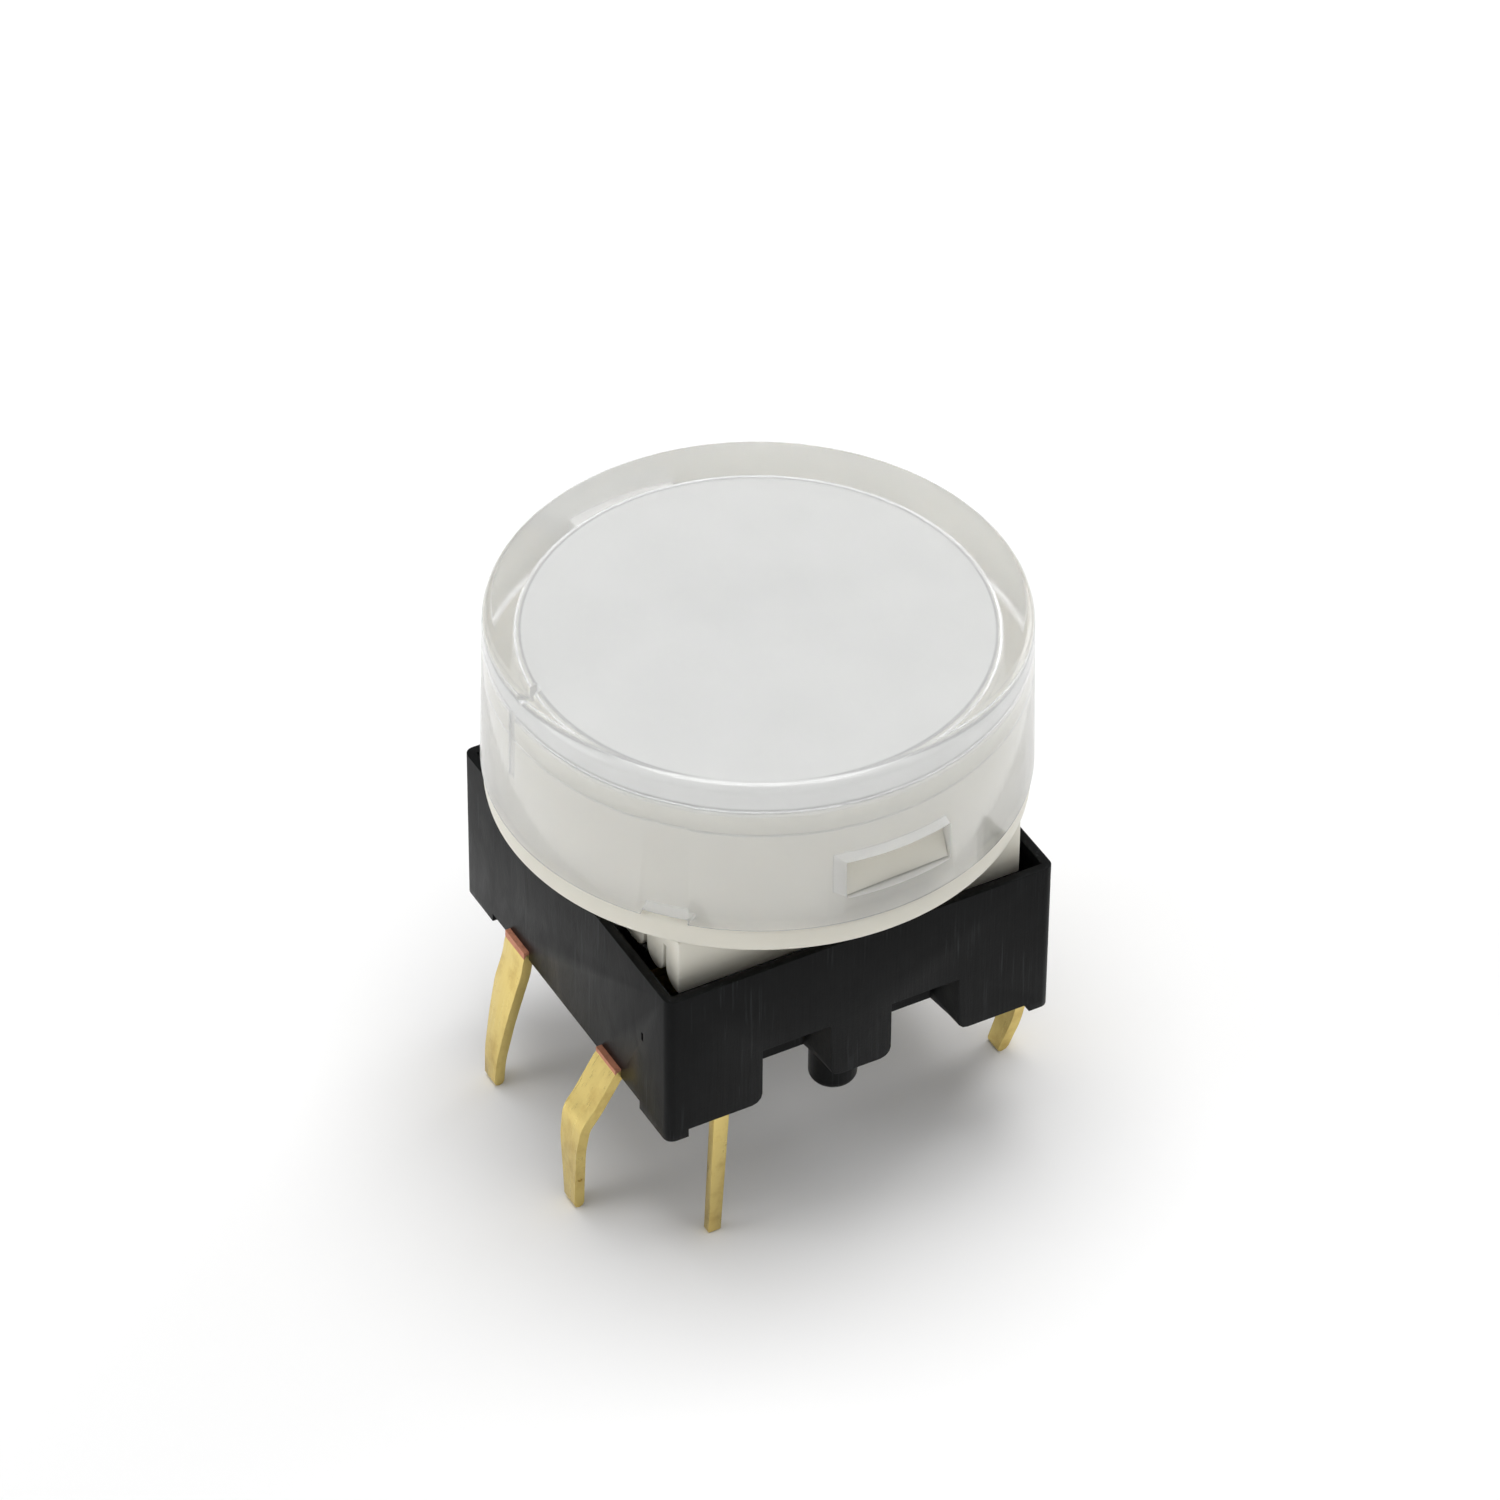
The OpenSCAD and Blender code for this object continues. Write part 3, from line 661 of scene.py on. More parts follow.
def bent_strip(name, line, place, width, thickness, width_at):
    """A flat strip along a line in X and Z, from an edge that is extruded, narrowed and thickened.

    It is cut level at the plane that the leg tips stand on.
    """
    fresh()
    bpy.ops.mesh.primitive_plane_add(size=width, location=(0, place, 0))
    piece = settle(name)
    pick_edges(piece, lambda a, b: a.x > 0 and b.x > 0)
    bpy.ops.mesh.delete(type="VERT")
    bpy.ops.mesh.select_mode(type="VERT")
    bpy.ops.mesh.select_all(action="SELECT")
    x, z = line[0]
    bpy.ops.transform.translate(value=(x + width / 2, 0, z))
    for next_x, next_z in line[1:]:
        bpy.ops.mesh.extrude_region_move(
            TRANSFORM_OT_translate={"value": (next_x - x, 0, next_z - z)}
        )
        share = width_at(next_z) / width_at(z)
        bpy.ops.transform.resize(value=(1, share, 1), center_override=(next_x, place, next_z))
        x, z = next_x, next_z
    leave(piece)
    with_modifier(piece, "SOLIDIFY", thickness=thickness, offset=0, use_even_offset=True)
    close_and_face_out(piece, fill=False)
    edit(piece)
    bpy.ops.mesh.bisect(plane_co=(0, 0, 0), plane_no=(0, 0, 1), use_fill=True, clear_inner=True)
    return leave(piece)


# Each leg: its name, side, row, the size that its contact pad begins at, how far its strip runs out
# past the side face, its bends (out from the side face, down from the underside) and its tip's
# reach, in millimetres.
LEGS = (
    ("front_left_terminal", -1, -1, "rim_pad", 0.02,
     ((0.69, 0.97), (1.00, 1.37), (1.10, 2.17), (1.09, 3.18)), 1.08),
    ("back_left_terminal", -1, 1, "rim_pad", 0.00,
     ((0.10, 0.50), (0.31, 1.14), (0.53, 2.11), (0.74, 3.30)), 0.80),
    ("front_right_terminal", 1, -1, "crown_pad", 0.12,
     ((0.60, 0.95), (0.80, 1.40), (0.84, 2.30), (0.66, 3.30)), 0.18),
    ("back_right_terminal", 1, 1, "crown_pad", 0.12,
     ((0.66, 1.00), (0.94, 1.40), (1.02, 2.20), (1.00, 3.20)), 1.00),
)


def terminal_line(side, pad, out, bends, tip):
    """The middle line of a terminal, from its contact pad to just past its level end."""
    base, sizes = bpy.context.scene.switch_base, bpy.context.scene.switch_terminals
    half, thick, riser = mm(base.side) / 2, mm(sizes.thickness), mm(sizes.riser)
    underside = mm(base.underside)
    pad_z, level_z = underside + mm(base.bottom) - thick / 2, underside + thick / 2
    points = [(pad, pad_z), (riser, pad_z), (riser, level_z), (half + out, level_z)]
    points += [(half + reach, underside - drop) for reach, drop in bends]
    points.append((half + tip, -thick))
    return [(side * x, z) for x, z in rounded_path(points, mm(sizes.bend_radius))]


class SWITCH_OT_terminals(bpy.types.Operator):
    """Models the four stamped terminals with their kinked, tapering legs"""

    bl_idname = "switch.terminals"
    bl_label = "Terminals"

    # Depths of the cut ends and their copper in the side face, and the pit's place out and up.
    cut_root, copper_root = 0.2, 0.15
    pit_out, pit_z = 1.09, 1.0

    def execute(self, context):
        base, sizes = context.scene.switch_base, context.scene.switch_terminals
        wide, tip_wide = mm(sizes.width), mm(sizes.tip_width)
        thick, taper, half = mm(sizes.thickness), mm(sizes.taper), mm(base.side) / 2
        low = mm(base.underside)

        def width_at(z):
            return tip_wide + (wide - tip_wide) * min(max(z / taper, 0), 1)

        for name, side, row, pad, out, bends, tip in LEGS:
            place = row * mm(sizes.pitch) / 2
            line = terminal_line(side, mm(getattr(sizes, pad)), out, bends, tip)
            piece = bent_strip("gold_" + name, line, place, wide, thick, width_at)
            root, end = side * (half - self.cut_root), side * (half + out + thick / 2)
            add(piece, block("cut_end", (root, place - wide / 2, low),
                             (end, place + wide / 2, low + thick)))
            round_edges(piece, lambda a, b: at_tip(a, b) and abs(a.y - b.y) > tip_wide / 2,
                        mm(sizes.tip_chamfer), 2)
            soften(piece, mm(sizes.soft_edge))
            if name == "front_left_terminal":
                pit_place = (-half - self.pit_out, place - width_at(self.pit_z) / 2, self.pit_z)
                cut(piece, ball("pit", mm(sizes.pit), pit_place))
            finish_piece(piece, "switch_body", "satin_gold", name)
            second_finish(piece, "bare_copper", lambda centre, normal:
                          centre.x * side > half - self.copper_root
                          and centre.z > low + thick / 2)
        return {"FINISHED"}


class SWITCH_OT_lamp_pins(bpy.types.Operator):
    """Models the two straight lamp pins with their buried arms"""

    bl_idname = "switch.lamp_pins"
    bl_label = "Lamp pins"

    # The rounding of a pin's tip, and its edges' share of the stamped strips' soft edge.
    tip_round, edge_share = 0.06, 0.7

    def execute(self, context):
        base, sizes = context.scene.switch_base, context.scene.switch_terminals
        lamp = context.scene.switch_inside
        half_w, half_t = mm(sizes.pin_width) / 2, mm(sizes.pin_thickness) / 2
        x, y, arm_y = mm(sizes.pin_x), mm(sizes.pin_y), mm(sizes.arm_y)
        left, right, front, back = -x - half_w, -x + half_w, -y - half_t, -y + half_t
        bend_z, low = mm(base.underside), mm(base.underside + sizes.arm_height)
        high = low + 2 * half_t
        lead_y = mm(lamp.lead_pitch - lamp.lead_width) / 2
        share = 1 - mm(sizes.pin_narrow) / (2 * half_w)
        for name, turn, lean in (("front_led_pin", 0, mm(sizes.pin_lean)),
                                 ("back_led_pin", math.pi, 0)):
            pin = block("gold_" + name, (left, front, 0), (right, back, bend_z))
            pick_edges(pin, at_tip)
            bpy.ops.transform.resize(value=(share, 1, 1), center_override=(left, -y, 0))
            bpy.ops.transform.translate(value=(-lean, 0, 0))
            leave(pin)
            round_edges(pin, at_tip, self.tip_round, 2)
            add(pin,
                block("upper", (left, front, bend_z), (right, back, high)),
                block("arm_in", (left, -y + half_t / 2, low), (right, -arm_y + half_t, high)),
                block("arm_across", (-x + half_w / 2, -arm_y - half_t, low),
                      (half_w, -arm_y + half_t, high)),
                block("arm_to_lead", (-half_w, -arm_y + half_t / 2, low),
                      (half_w, -lead_y, high)))
            soften(turned(pin, turn), mm(sizes.soft_edge) * self.edge_share, 60)
            finish_piece(pin, "switch_body", "satin_gold", name)
        return {"FINISHED"}


def notch_cutters(base):
    """Boxes that cut the four notches."""
    half, z = mm(base.side) / 2, mm(base.underside)
    inner = mm(base.tab) / 2
    outer = inner + mm(base.notch_width)
    depth, top = mm(base.notch_depth), z + mm(base.notch_height)
    for turn in (0, math.pi):
        for side in (-1, 1):
            cutter = block("notch", (side * inner, -half - PAST, z - PAST),
                           (side * outer, -half + depth, top))
            yield turned(cutter, turn)


def peg(base, side):
    """A locating peg with a rounded end, rooted in the base."""
    radius, rounding, centre = mm(base.peg_radius), mm(base.peg_round), 0.1
    low = mm(BASE_LOW.z)
    high = mm(base.underside) + mm(base.notch_height) / 2
    end = arc((radius - rounding, low + rounding), rounding, -90, 0, 6)
    piece = lathe("peg", [(centre, low)] + end + [(radius, high), (centre, high)], 64)
    piece.location = (0, side * mm(base.peg_place), 0)
    return apply_transform(piece)


class SWITCH_OT_base(bpy.types.Operator):
    """Models the black base with its cavity, notches, feet, pegs and terminal channels"""

    bl_idname = "switch.base"
    bl_label = "Base"

    # Reach of two cutters, and the nick's place behind the front and below the top, and its depth.
    recess_root, pad_over = 0.1, 0.2
    nick_in, nick_down, nick_deep = 1.34, 2.1, 0.07

    def execute(self, context):
        base, strips = context.scene.switch_base, context.scene.switch_terminals
        half, low, high = mm(base.side) / 2, mm(base.underside), mm(BASE_HIGH.z)
        floor_z, inner = low + mm(base.bottom), half - mm(base.wall)
        piece = pillar("black_base", half, half, low, high)
        foot = mm(base.foot_height)
        feet = pillar("feet", half, half, low - foot, low + foot)
        for part in (piece, feet):
            round_edges(part, lambda a, b: abs(a.x - b.x) < NEAR and abs(a.y - b.y) < NEAR,
                        mm(base.edge_radius), 6)
        across, along = half - mm(base.foot_width), half - mm(base.foot_length)
        cut(feet, pillar("between", across, half + PAST, low - PAST, low + PAST),
            pillar("between", half + PAST, along, low - PAST, low + PAST))
        add(piece, feet)
        thin, thin_low = half - mm(base.top_wall), high - mm(base.top_wall_depth)
        cut(piece, pillar("cavity", inner, inner, floor_z, high + PAST),
            pillar("thinner", thin, thin, thin_low, high + PAST), *notch_cutters(base))
        tab, deep = mm(base.tab) / 2, half - mm(base.notch_depth) - NEAR
        lips = (tab, tab + mm(base.notch_width))
        round_edges(piece, lambda a, b: abs(a.z - low) < NEAR and abs(b.z - low) < NEAR
                    and abs(a.x - b.x) < NEAR and min(abs(abs(a.x) - x) for x in lips) < NEAR
                    and min(abs(a.y), abs(b.y)) > deep, mm(base.notch_chamfer), 3)
        add(piece, peg(base, -1), peg(base, 1))
        wide, recess_top = mm(base.recess_width) / 2, floor_z + mm(base.recess_height)
        for side in (-1, 1):
            cut(piece, block("recess", (side * (inner - self.recess_root), -wide, floor_z),
                             (side * (inner + mm(base.recess_depth)), wide, recess_top)))
        thick, wide = mm(strips.thickness), mm(strips.width) / 2
        for _, side, row, pad, *_ in LEGS:
            y, riser = row * mm(strips.pitch) / 2, side * mm(strips.riser)
            pad_x = side * mm(getattr(strips, pad))
            cut(piece, block("channel", (riser, y - wide, low - PAST),
                             (side * (half + PAST), y + wide, low + thick)),
                block("pad", (pad_x, y - wide, floor_z - thick),
                      (riser, y + wide, floor_z + self.pad_over)))
        soften(piece, mm(base.soft_edge))
        tall, nick_y, nick_z = mm(base.nick) / 2, -half + self.nick_in, high - self.nick_down
        cut(piece, block("nick", (-half - PAST, nick_y - tall / 3, nick_z - tall),
                         (-half + self.nick_deep, nick_y + tall / 3, nick_z + tall)))
        finish_piece(piece, "switch_body", "matte_black", "base")
        return {"FINISHED"}


class SWITCH_OT_lamp(bpy.types.Operator):
    """Models the lamp with its rim, rounded top and leads"""

    bl_idname = "switch.lamp"
    bl_label = "Lamp"

    # The first ring's radius is the centre, and top_angle is where the dome ends, in degrees.
    flat, lead_root, centre, edge, top_angle = 0.08, 0.2, 0.3, 0.04, 84

    def execute(self, context):
        base, sizes = context.scene.switch_base, context.scene.switch_inside
        radius, rim = mm(sizes.lamp_radius), mm(sizes.lamp_radius + sizes.lamp_rim)
        low, high = mm(base.underside + base.bottom), mm(LED_HIGH.z)
        rim_top = low + mm(sizes.lamp_rim_height)
        rings = [(self.centre, low), (rim, low), (rim, rim_top), (radius, rim_top)]
        rings += arc((0, high - radius), radius, 0, self.top_angle, 14)
        piece = lathe("lamp_body", rings, 64)
        cut(piece, block("flat", (radius + self.flat, -rim - PAST, low - PAST),
                         (rim + PAST, rim + PAST, rim_top + NEAR)))
        half, lead_y, lead_low = mm(sizes.lead_width) / 2, mm(sizes.lead_pitch) / 2, mm(LED_LOW.z)
        for y in (-lead_y, lead_y):
            add(piece, block("lead", (-half, y - half, lead_low),
                             (half, y + half, low + self.lead_root)))
        soften(piece, self.edge)
        finish_piece(piece, "switch_body", "cast_resin", "led")
        return {"FINISHED"}


def squashed(piece):
    """Gives a sprung piece a mesh of its own."""
    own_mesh(piece)


class SWITCH_OT_spring(bpy.types.Operator):
    """Winds the return spring round the lamp"""

    bl_idname = "switch.spring"
    bl_label = "Return spring"

    def execute(self, context):
        sizes = context.scene.switch_inside
        wire, turns = mm(sizes.spring_wire) / 2, sizes.spring_turns
        low, high, steps = mm(SPRING_LOW.z), mm(SPRING_HIGH.z), int(40 * turns)
        fresh()
        bpy.ops.mesh.primitive_circle_add(
            vertices=14, radius=wire, location=(mm(sizes.spring_radius), 0, low + wire),
            rotation=(math.pi / 2, 0, 0), fill_type="NOTHING",
        )
        piece = settle("coil_return_spring")
        with_modifier(piece, "SCREW", axis="Z", angle=2 * math.pi * turns, steps=steps,
                      render_steps=steps, screw_offset=high - low - 2 * wire)
        close_and_face_out(piece)
        finish_piece(piece, "switch_body", "drawn_steel", "return_spring")
        squashed(piece)
        return {"FINISHED"}


class SWITCH_OT_click_dome(bpy.types.Operator):
    """Presses the click dome out of thin sheet, with a hole for the lamp"""

    bl_idname = "switch.click_dome"
    bl_label = "Click dome"

    def execute(self, context):
        sizes = context.scene.switch_inside
        inner, outer = mm(sizes.dome_hole), mm(DOME_HIGH.x)
        low, thick = mm(DOME_LOW.z), mm(sizes.dome_thickness)
        rise = mm(DOME_HIGH.z) - low - thick
        steps = 16
        radii = [inner + (outer - inner) * i / steps for i in range(steps + 1)]
        under = [(r, low + rise * (1 - ((r - inner) / (outer - inner)) ** 2)) for r in radii]
        over = [(r, z + thick) for r, z in reversed(under)]
        piece = lathe("sprung_click_dome", under + over, 96, ring_closed=True)
        finish_piece(piece, "switch_body", "drawn_steel", "click_dome", 30)
        squashed(piece)
        return {"FINISHED"}


class SWITCH_OT_plunger(bpy.types.Operator):
    """Models the square plunger with its slotted skirt, snap legs and spigot"""

    bl_idname = "switch.plunger"
    bl_label = "Plunger"

    # The slots' nearer and farther edges, from the middle.
    slots = ((3.02, 3.19), (4.05, 4.19))
    # The legs' end below their hooks, the hooks' slant, the joins' depths, the gap over the dome.
    snap_end, slant, root, deep_root, dome_gap = 0.3, 0.2, 0.1, 0.3, 0.02

    def execute(self, context):
        sizes, inside = context.scene.switch_plunger, context.scene.switch_inside
        half, top = mm(sizes.half), mm(HOLDER_LOW.z)
        low = mm(BASE_HIGH.z - sizes.skirt_dip)
        roof, inner = top - mm(sizes.roof), half - mm(sizes.skirt)
        piece = pillar("white_plunger", half, half, low, top)
        cut(piece, pillar("inside", inner, inner, low - PAST, roof))
        for near, far in self.slots:
            for sx in (-1, 1):
                for sy in (-1, 1):
                    cut(piece, block("slot", (sx * (half + PAST), sy * near, low - PAST),
                                     (sx * (inner - PAST / 2), sy * far, roof)))
        slot_sides = [y for slot in self.slots for y in slot]
        round_edges(piece, lambda a, b: max(a.z, b.z) < low + NEAR and abs(a.y - b.y) < NEAR
                    and min(abs(abs(a.y) - y) for y in slot_sides) < NEAR,
                    mm(sizes.tooth_round), 6)
        hook, wide = mm(sizes.hook), mm(sizes.snap_width) / 2
        leg_low = mm(PLUNGER_LOW.z)
        hook_low = leg_low + self.snap_end
        hook_top = hook_low + mm(sizes.hook_height)
        for side in (-1, 1):
            edge_x = side * (half + hook)
            leg = block("snap_leg", (side * inner, -wide, leg_low),
                        (side * half, wide, top - self.root))
            tooth = block("hook", (side * (half - self.root), -wide, hook_low),
                          (edge_x, wide, hook_top))
            round_edges(tooth, lambda a, b: abs(a.x - edge_x) < NEAR and abs(b.x - edge_x) < NEAR
                        and max(a.z, b.z) < hook_low + NEAR, self.slant, 1)
            add(piece, leg, tooth)
        push_low, rooted = mm(DOME_HIGH.z) + self.dome_gap, roof + self.deep_root
        hole, spigot = mm(inside.dome_hole), mm(sizes.spigot_half)
        spigot_top = top + mm(sizes.spigot_height)
        add(piece, rod("push_ring", hole + mm(sizes.ring), push_low, rooted),
            pillar("spigot", spigot, spigot, rooted, spigot_top))
        cut(piece, rod("ring_inside", hole, push_low - PAST, roof),
            rod("bore", mm(sizes.bore), 0, spigot_top + PAST))
        soften(piece, mm(sizes.soft_edge))
        finish_piece(piece, "button", "moulded_white", "plunger")
        return {"FINISHED"}


def latch_lug(sizes, cap, turn):
    """A wedge that fills one of the cap's windows from behind."""
    low = mm(CAP_LOW.z + cap.window_height + cap.window_gap)
    high = low + mm(sizes.lug_height)
    wide = mm(sizes.lug_width) / 2
    root, reach = mm(sizes.cup_radius - sizes.cup_wall / 2), mm(sizes.lug_reach)
    lug = block("lug", (-wide, -reach, low), (wide, -root, high))
    pick_edges(lug, lambda a, b: min(a.z, b.z) > high - NEAR and max(a.y, b.y) < -reach + NEAR)
    bpy.ops.transform.translate(value=(0, reach - mm(sizes.lug_lip), 0))
    return turned(leave(lug), turn + cap.window_angle)


# How deep the key rib is rooted in the cap's wall and roof.
RIB_ROOT = 0.2


def rib_box(name, cap, margin, low, high):
    """The box of the cap's key rib, grown by a margin on its open sides."""
    inside = mm(CAP_HIGH.x - cap.wall)
    reach = inside - mm(cap.rib_out)
    half = mm(cap.rib_width) / 2 + margin
    rib = block(name, (reach - margin, -half, low), (inside + RIB_ROOT, half, high))
    return turned(rib, cap.rib_angle)


class SWITCH_OT_holder(bpy.types.Operator):
    """Turns the holder with its flange and cup, and adds its lugs and socket"""

    bl_idname = "switch.holder"
    bl_label = "Cap holder"

    # The hole in the flange, the cup's fillet and rim, the socket's root and the softened edges.
    hole, fillet, rim, root, edge = 3.6, 0.08, 0.05, 0.1, 0.03

    def execute(self, context):
        sizes, cap = context.scene.switch_holder, context.scene.switch_cap
        spigot = context.scene.switch_plunger
        low, top = mm(HOLDER_LOW.z), mm(HOLDER_HIGH.z)
        flange_r, flange_top = mm(HOLDER_HIGH.x), low + mm(sizes.flange)
        cup, inner = mm(sizes.cup_radius), mm(sizes.cup_radius - sizes.cup_wall)
        edge, fillet, rim = mm(sizes.flange_round), self.fillet, self.rim
        rings = [(self.hole, low)]
        rings += arc((flange_r - edge, low + edge), edge, -90, 0, 4)
        rings += arc((flange_r - edge, flange_top - edge), edge, 0, 90, 4)
        rings += [(cup + fillet, flange_top), (cup, flange_top + fillet), (cup, top - rim),
                  (cup - rim, top), (inner + rim, top), (inner, top - rim),
                  (inner, flange_top), (self.hole, flange_top)]
        piece = lathe("white_cap_holder", rings, cap.segments)
        fit, wall = mm(sizes.fit), mm(sizes.socket_wall)
        hub = mm(spigot.spigot_half) + fit + wall
        hub_top = low + mm(spigot.spigot_height)
        add(piece, pillar("hub", hub, hub, low + self.root, hub_top),
            latch_lug(sizes, cap, 0), latch_lug(sizes, cap, math.pi))
        socket = hub - wall
        groove_low = mm(CAP_HIGH.z - cap.top - cap.rib_height) - fit
        cut(piece, pillar("socket", socket, socket, low - PAST, hub_top + PAST),
            rib_box("groove", cap, fit, groove_low, top + PAST))
        soften(piece, self.edge)
        finish_piece(piece, "button", "moulded_white", "cap_holder")
        return {"FINISHED"}


class SWITCH_OT_diffuser(bpy.types.Operator):
    """Turns the milky diffuser and cuts the thin legend film that lies on it"""

    bl_idname = "switch.diffuser"
    bl_label = "Diffuser and legend film"

    # The first rings' radius, how far the edges are broken, and how wide the band of painted shade
    # round the film's edge is.
    centre, low_edge, edge, film_edge, cut_edge = 0.5, 0.04, 0.06, 0.01, 0.05

    def execute(self, context):
        sizes, cap = context.scene.switch_holder, context.scene.switch_cap
        low, high = mm(HOLDER_HIGH.z), mm(DIFFUSER_HIGH.z)
        collar_low, fit = mm(DIFFUSER_LOW.z), mm(sizes.fit)
        cup, wall = mm(sizes.cup_radius), mm(sizes.cup_wall)
        collar, centre, edge = cup - wall - fit, self.centre, self.edge
        rings = [(centre, low), (collar - wall, low), (collar - wall, collar_low),
                 (collar, collar_low), (collar, low), (cup - self.low_edge, low),
                 (cup, low + self.low_edge), (cup, high - edge), (cup - edge, high),
                 (centre, high)]
        plate = lathe("milky_diffuser", rings, cap.segments)
        cut(plate, rib_box("groove", cap, fit, collar_low - PAST, high + PAST))
        finish_piece(plate, "button", "milky_sheet", "diffuser")

        low, high, radius = mm(FILM_LOW.z), mm(FILM_HIGH.z), mm(FILM_HIGH.x)
        rings = [(centre, low), (radius, low), (radius, high - self.film_edge),
                 (radius - edge, high), (centre, high)]
        film = lathe("white_legend_film", rings, cap.segments)
        cut(film, rib_box("groove", cap, fit, low - PAST, high + PAST))
        finish_piece(film, "button", "printed_film", "legend_film")
        # Painted shade: the film's side and a thin band of its top at the edge are dark grey,
        # standing in for the shadow where the film steps down to the diffuser.
        second_finish(film, "film_cut_edge", lambda centre, normal:
                      centre.xy.length > radius - self.cut_edge and normal.z > -0.5)
        return {"FINISHED"}


class SWITCH_OT_cap(bpy.types.Operator):
    """Turns the clear cap and opens its latch windows and pry notch"""

    bl_idname = "switch.cap"
    bl_label = "Clear cap"

    # The first ring's radius, the corner under the roof, the wall's lower edges outside and inside,
    # and the softened edges.
    centre, corner, low_edge, lead_in, edge = 0.5, 0.12, 0.02, 0.1, 0.03
    # How far round a window its frosted faces reach.
    frost_beside, frost_out, frost_over = 0.4, 0.02, 0.05

    def execute(self, context):
        sizes, holder = context.scene.switch_cap, context.scene.switch_holder
        low, high, radius = mm(CAP_LOW.z - holder.fit), mm(CAP_HIGH.z), mm(CAP_HIGH.x)
        roof, inner = mm(FILM_HIGH.z - holder.fit), radius - mm(sizes.wall)
        rounding, top_r = mm(sizes.rounding), radius - mm(sizes.taper)
        rings = [(self.centre, high)]
        rings += arc((top_r - rounding, high - rounding), rounding, 90, 0, 8)
        rings += [(radius, low + self.low_edge), (radius - self.low_edge, low),
                  (inner + self.lead_in, low), (inner, low + self.lead_in)]
        rings += arc((inner - self.corner, roof - self.corner), self.corner, 0, 90, 4)
        rings += [(self.centre, roof)]
        piece = lathe("clear_lens_cap", rings, sizes.segments)
        window_low = low + mm(sizes.window_height)
        window_high = window_low + mm(holder.lug_height + 2 * sizes.window_gap)
        half = mm(holder.lug_width / 2 + sizes.window_gap)
        for side in (-1, 1):
            window = block("window", (-half, side * radius / 2, window_low),
                           (half, side * (radius + PAST), window_high))
            cut(piece, turned(window, sizes.window_angle))
        pry = mm(sizes.pry_width) / 2
        notch = block("pry", (radius / 2, -pry, low - PAST),
                      (radius + PAST, pry, low + mm(sizes.pry_height)))
        cut(piece, turned(notch, sizes.pry_angle))
        add(piece, rib_box("rib", sizes, 0, roof - mm(sizes.rib_height), roof + RIB_ROOT))
        soften(piece, self.edge, 55)
        finish_piece(piece, "button", "polished_clear", "lens_cap")

        def frosted(centre, normal):
            across = abs(normal.xy.dot(centre.xy.normalized())) < 0.5
            return (across and abs(centre.x) < half + self.frost_beside
                    and centre.xy.length > inner + self.frost_out
                    and abs(centre.z - (window_low + window_high) / 2)
                    < (window_high - window_low) / 2 + self.frost_over)

        second_finish(piece, "frosted_clear", frosted)
        return {"FINISHED"}


# Each soft square light: its name, its place and side in metres, and its power in watts.
LIGHTS = (
    ("top_softbox", (0.025, 0.04, 0.40), 0.26, 1.09),
    ("left_fill", (-0.36, 0.10, 0.15), 0.20, 0.31),
    ("right_fill", (0.36, 0.10, 0.15), 0.20, 0.38),
    ("front_glint", (0.10, -0.16, 0.36), 0.07, 0.03),
)


def set_lights():
    """Sets the soft lights, which all face the switch."""
    for name, place, side, power in LIGHTS:
        fresh()
        bpy.ops.object.light_add(type="AREA", location=place)
        lamp = bpy.context.object
        lamp.name = name
        lamp.data.size = side
        lamp.data.energy = power
        lamp.rotation_euler = (-Vector(place)).to_track_quat("-Z", "Y").to_euler()


def white_world(strength, seen_through):
    """White surroundings, with another strength for what is seen through the clear cap."""
    world = bpy.data.worlds.new("white_surroundings")
    world.use_nodes = True
    nodes, links = world.node_tree.nodes, world.node_tree.links
    path = node(world, "LightPath").outputs["Is Transmission Ray"]
    mix = node(world, "MixShader", Fac=path)
    nodes["Background"].inputs["Color"].default_value = (1, 1, 1, 1)
    nodes["Background"].inputs["Strength"].default_value = strength
    bright = node(world, "Background", Color=(1, 1, 1, 1), Strength=seen_through)
    links.new(nodes["Background"].outputs["Background"], mix.inputs[1])
    links.new(bright.outputs["Background"], mix.inputs[2])
    links.new(mix.outputs["Shader"], nodes["World Output"].inputs["Surface"])
    return world


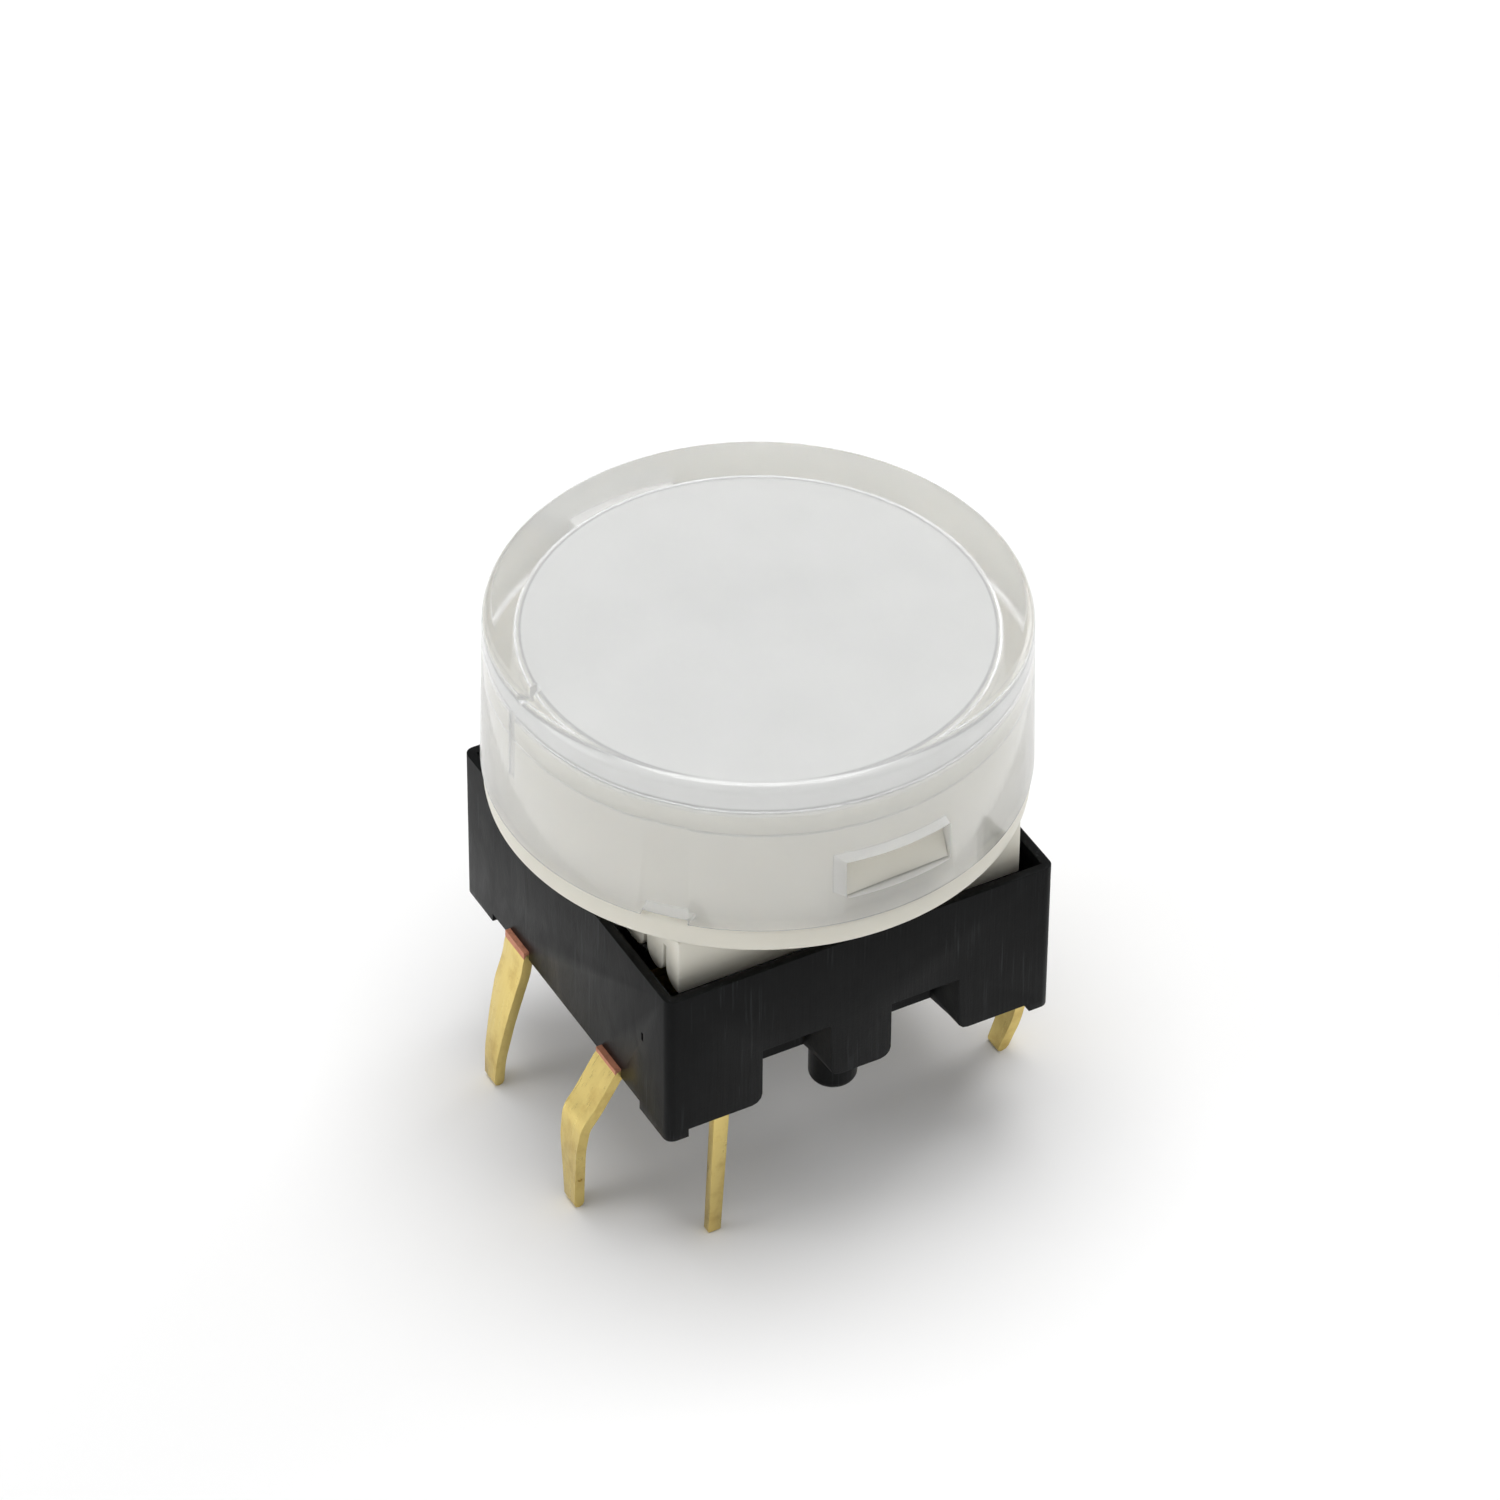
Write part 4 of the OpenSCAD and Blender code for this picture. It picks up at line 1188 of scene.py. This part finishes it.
class SWITCH_OT_stage(bpy.types.Operator):
    """Sets the pale floor, the soft lights and the camera at the photograph's angle"""

    bl_idname = "switch.stage"
    bl_label = "Stage"

    def execute(self, context):
        scene, stage = context.scene, context.scene.switch_stage
        fresh()
        bpy.ops.mesh.primitive_plane_add(size=stage.floor_size)
        floor = settle("pale_floor")
        floor.data.materials.append(finish_named("pale_floor"))
        set_lights()
        scene.world = white_world(stage.world, stage.world_seen_through)
        scene.view_settings.view_transform = "Standard"

        camera_data = bpy.data.cameras.new("photo_camera")
        camera = bpy.data.objects.new("photo_camera", camera_data)
        scene.collection.objects.link(camera)
        a, e, r = stage.azimuth, stage.elevation, stage.roll
        back = Vector((math.sin(a) * math.cos(e), -math.cos(a) * math.cos(e), math.sin(e)))
        level = Vector((math.cos(a), math.sin(a), 0))
        upward = back.cross(level)
        right = level * math.cos(r) + upward * math.sin(r)
        up = upward * math.cos(r) - level * math.sin(r)
        turn = Matrix((right, up, back)).transposed().to_4x4()
        camera.matrix_world = Matrix.Translation(Vector(stage.aim) + back * stage.distance) @ turn
        camera_data.sensor_width = 36.0
        camera_data.lens = stage.lens
        camera_data.clip_start = 0.001
        scene.camera = camera
        return {"FINISHED"}


class SWITCH_PT_panel(bpy.types.Panel):
    """Lists the switch's pieces in the sidebar"""

    bl_idname = "SWITCH_PT_panel"
    bl_label = "Push button switch"
    bl_space_type = "VIEW_3D"
    bl_region_type = "UI"
    bl_category = "Switch"

    def draw(self, context):
        for operator in OPERATORS:
            self.layout.operator(operator.bl_idname)
        for name in PROPERTY_GROUPS:
            group = getattr(context.scene, name)
            box = self.layout.box()
            box.label(text=type(group).__doc__)
            for key in type(group).__annotations__:
                box.prop(group, key)


PROPERTY_GROUPS = {
    "switch_base": BaseSizes,
    "switch_terminals": TerminalSizes,
    "switch_inside": InsideSizes,
    "switch_plunger": PlungerSizes,
    "switch_holder": HolderSizes,
    "switch_cap": CapSizes,
    "switch_finishes": Finishes,
    "switch_stage": StageSizes,
}

OPERATORS = (
    SWITCH_OT_stage,
    SWITCH_OT_terminals,
    SWITCH_OT_lamp_pins,
    SWITCH_OT_base,
    SWITCH_OT_lamp,
    SWITCH_OT_spring,
    SWITCH_OT_click_dome,
    SWITCH_OT_plunger,
    SWITCH_OT_holder,
    SWITCH_OT_diffuser,
    SWITCH_OT_cap,
)


def register():
    for name, group in PROPERTY_GROUPS.items():
        bpy.utils.register_class(group)
        setattr(bpy.types.Scene, name, PointerProperty(type=group))
    for operator in OPERATORS:
        bpy.utils.register_class(operator)
    bpy.utils.register_class(SWITCH_PT_panel)


def unregister():
    bpy.utils.unregister_class(SWITCH_PT_panel)
    for operator in reversed(OPERATORS):
        bpy.utils.unregister_class(operator)
    for name, group in reversed(PROPERTY_GROUPS.items()):
        delattr(bpy.types.Scene, name)
        bpy.utils.unregister_class(group)


def main():
    """Makes the whole switch and its stage."""
    register()
    for operator in OPERATORS:
        group, name = operator.bl_idname.split(".")
        getattr(getattr(bpy.ops, group), name)()


if __name__ == "__main__":
    main()
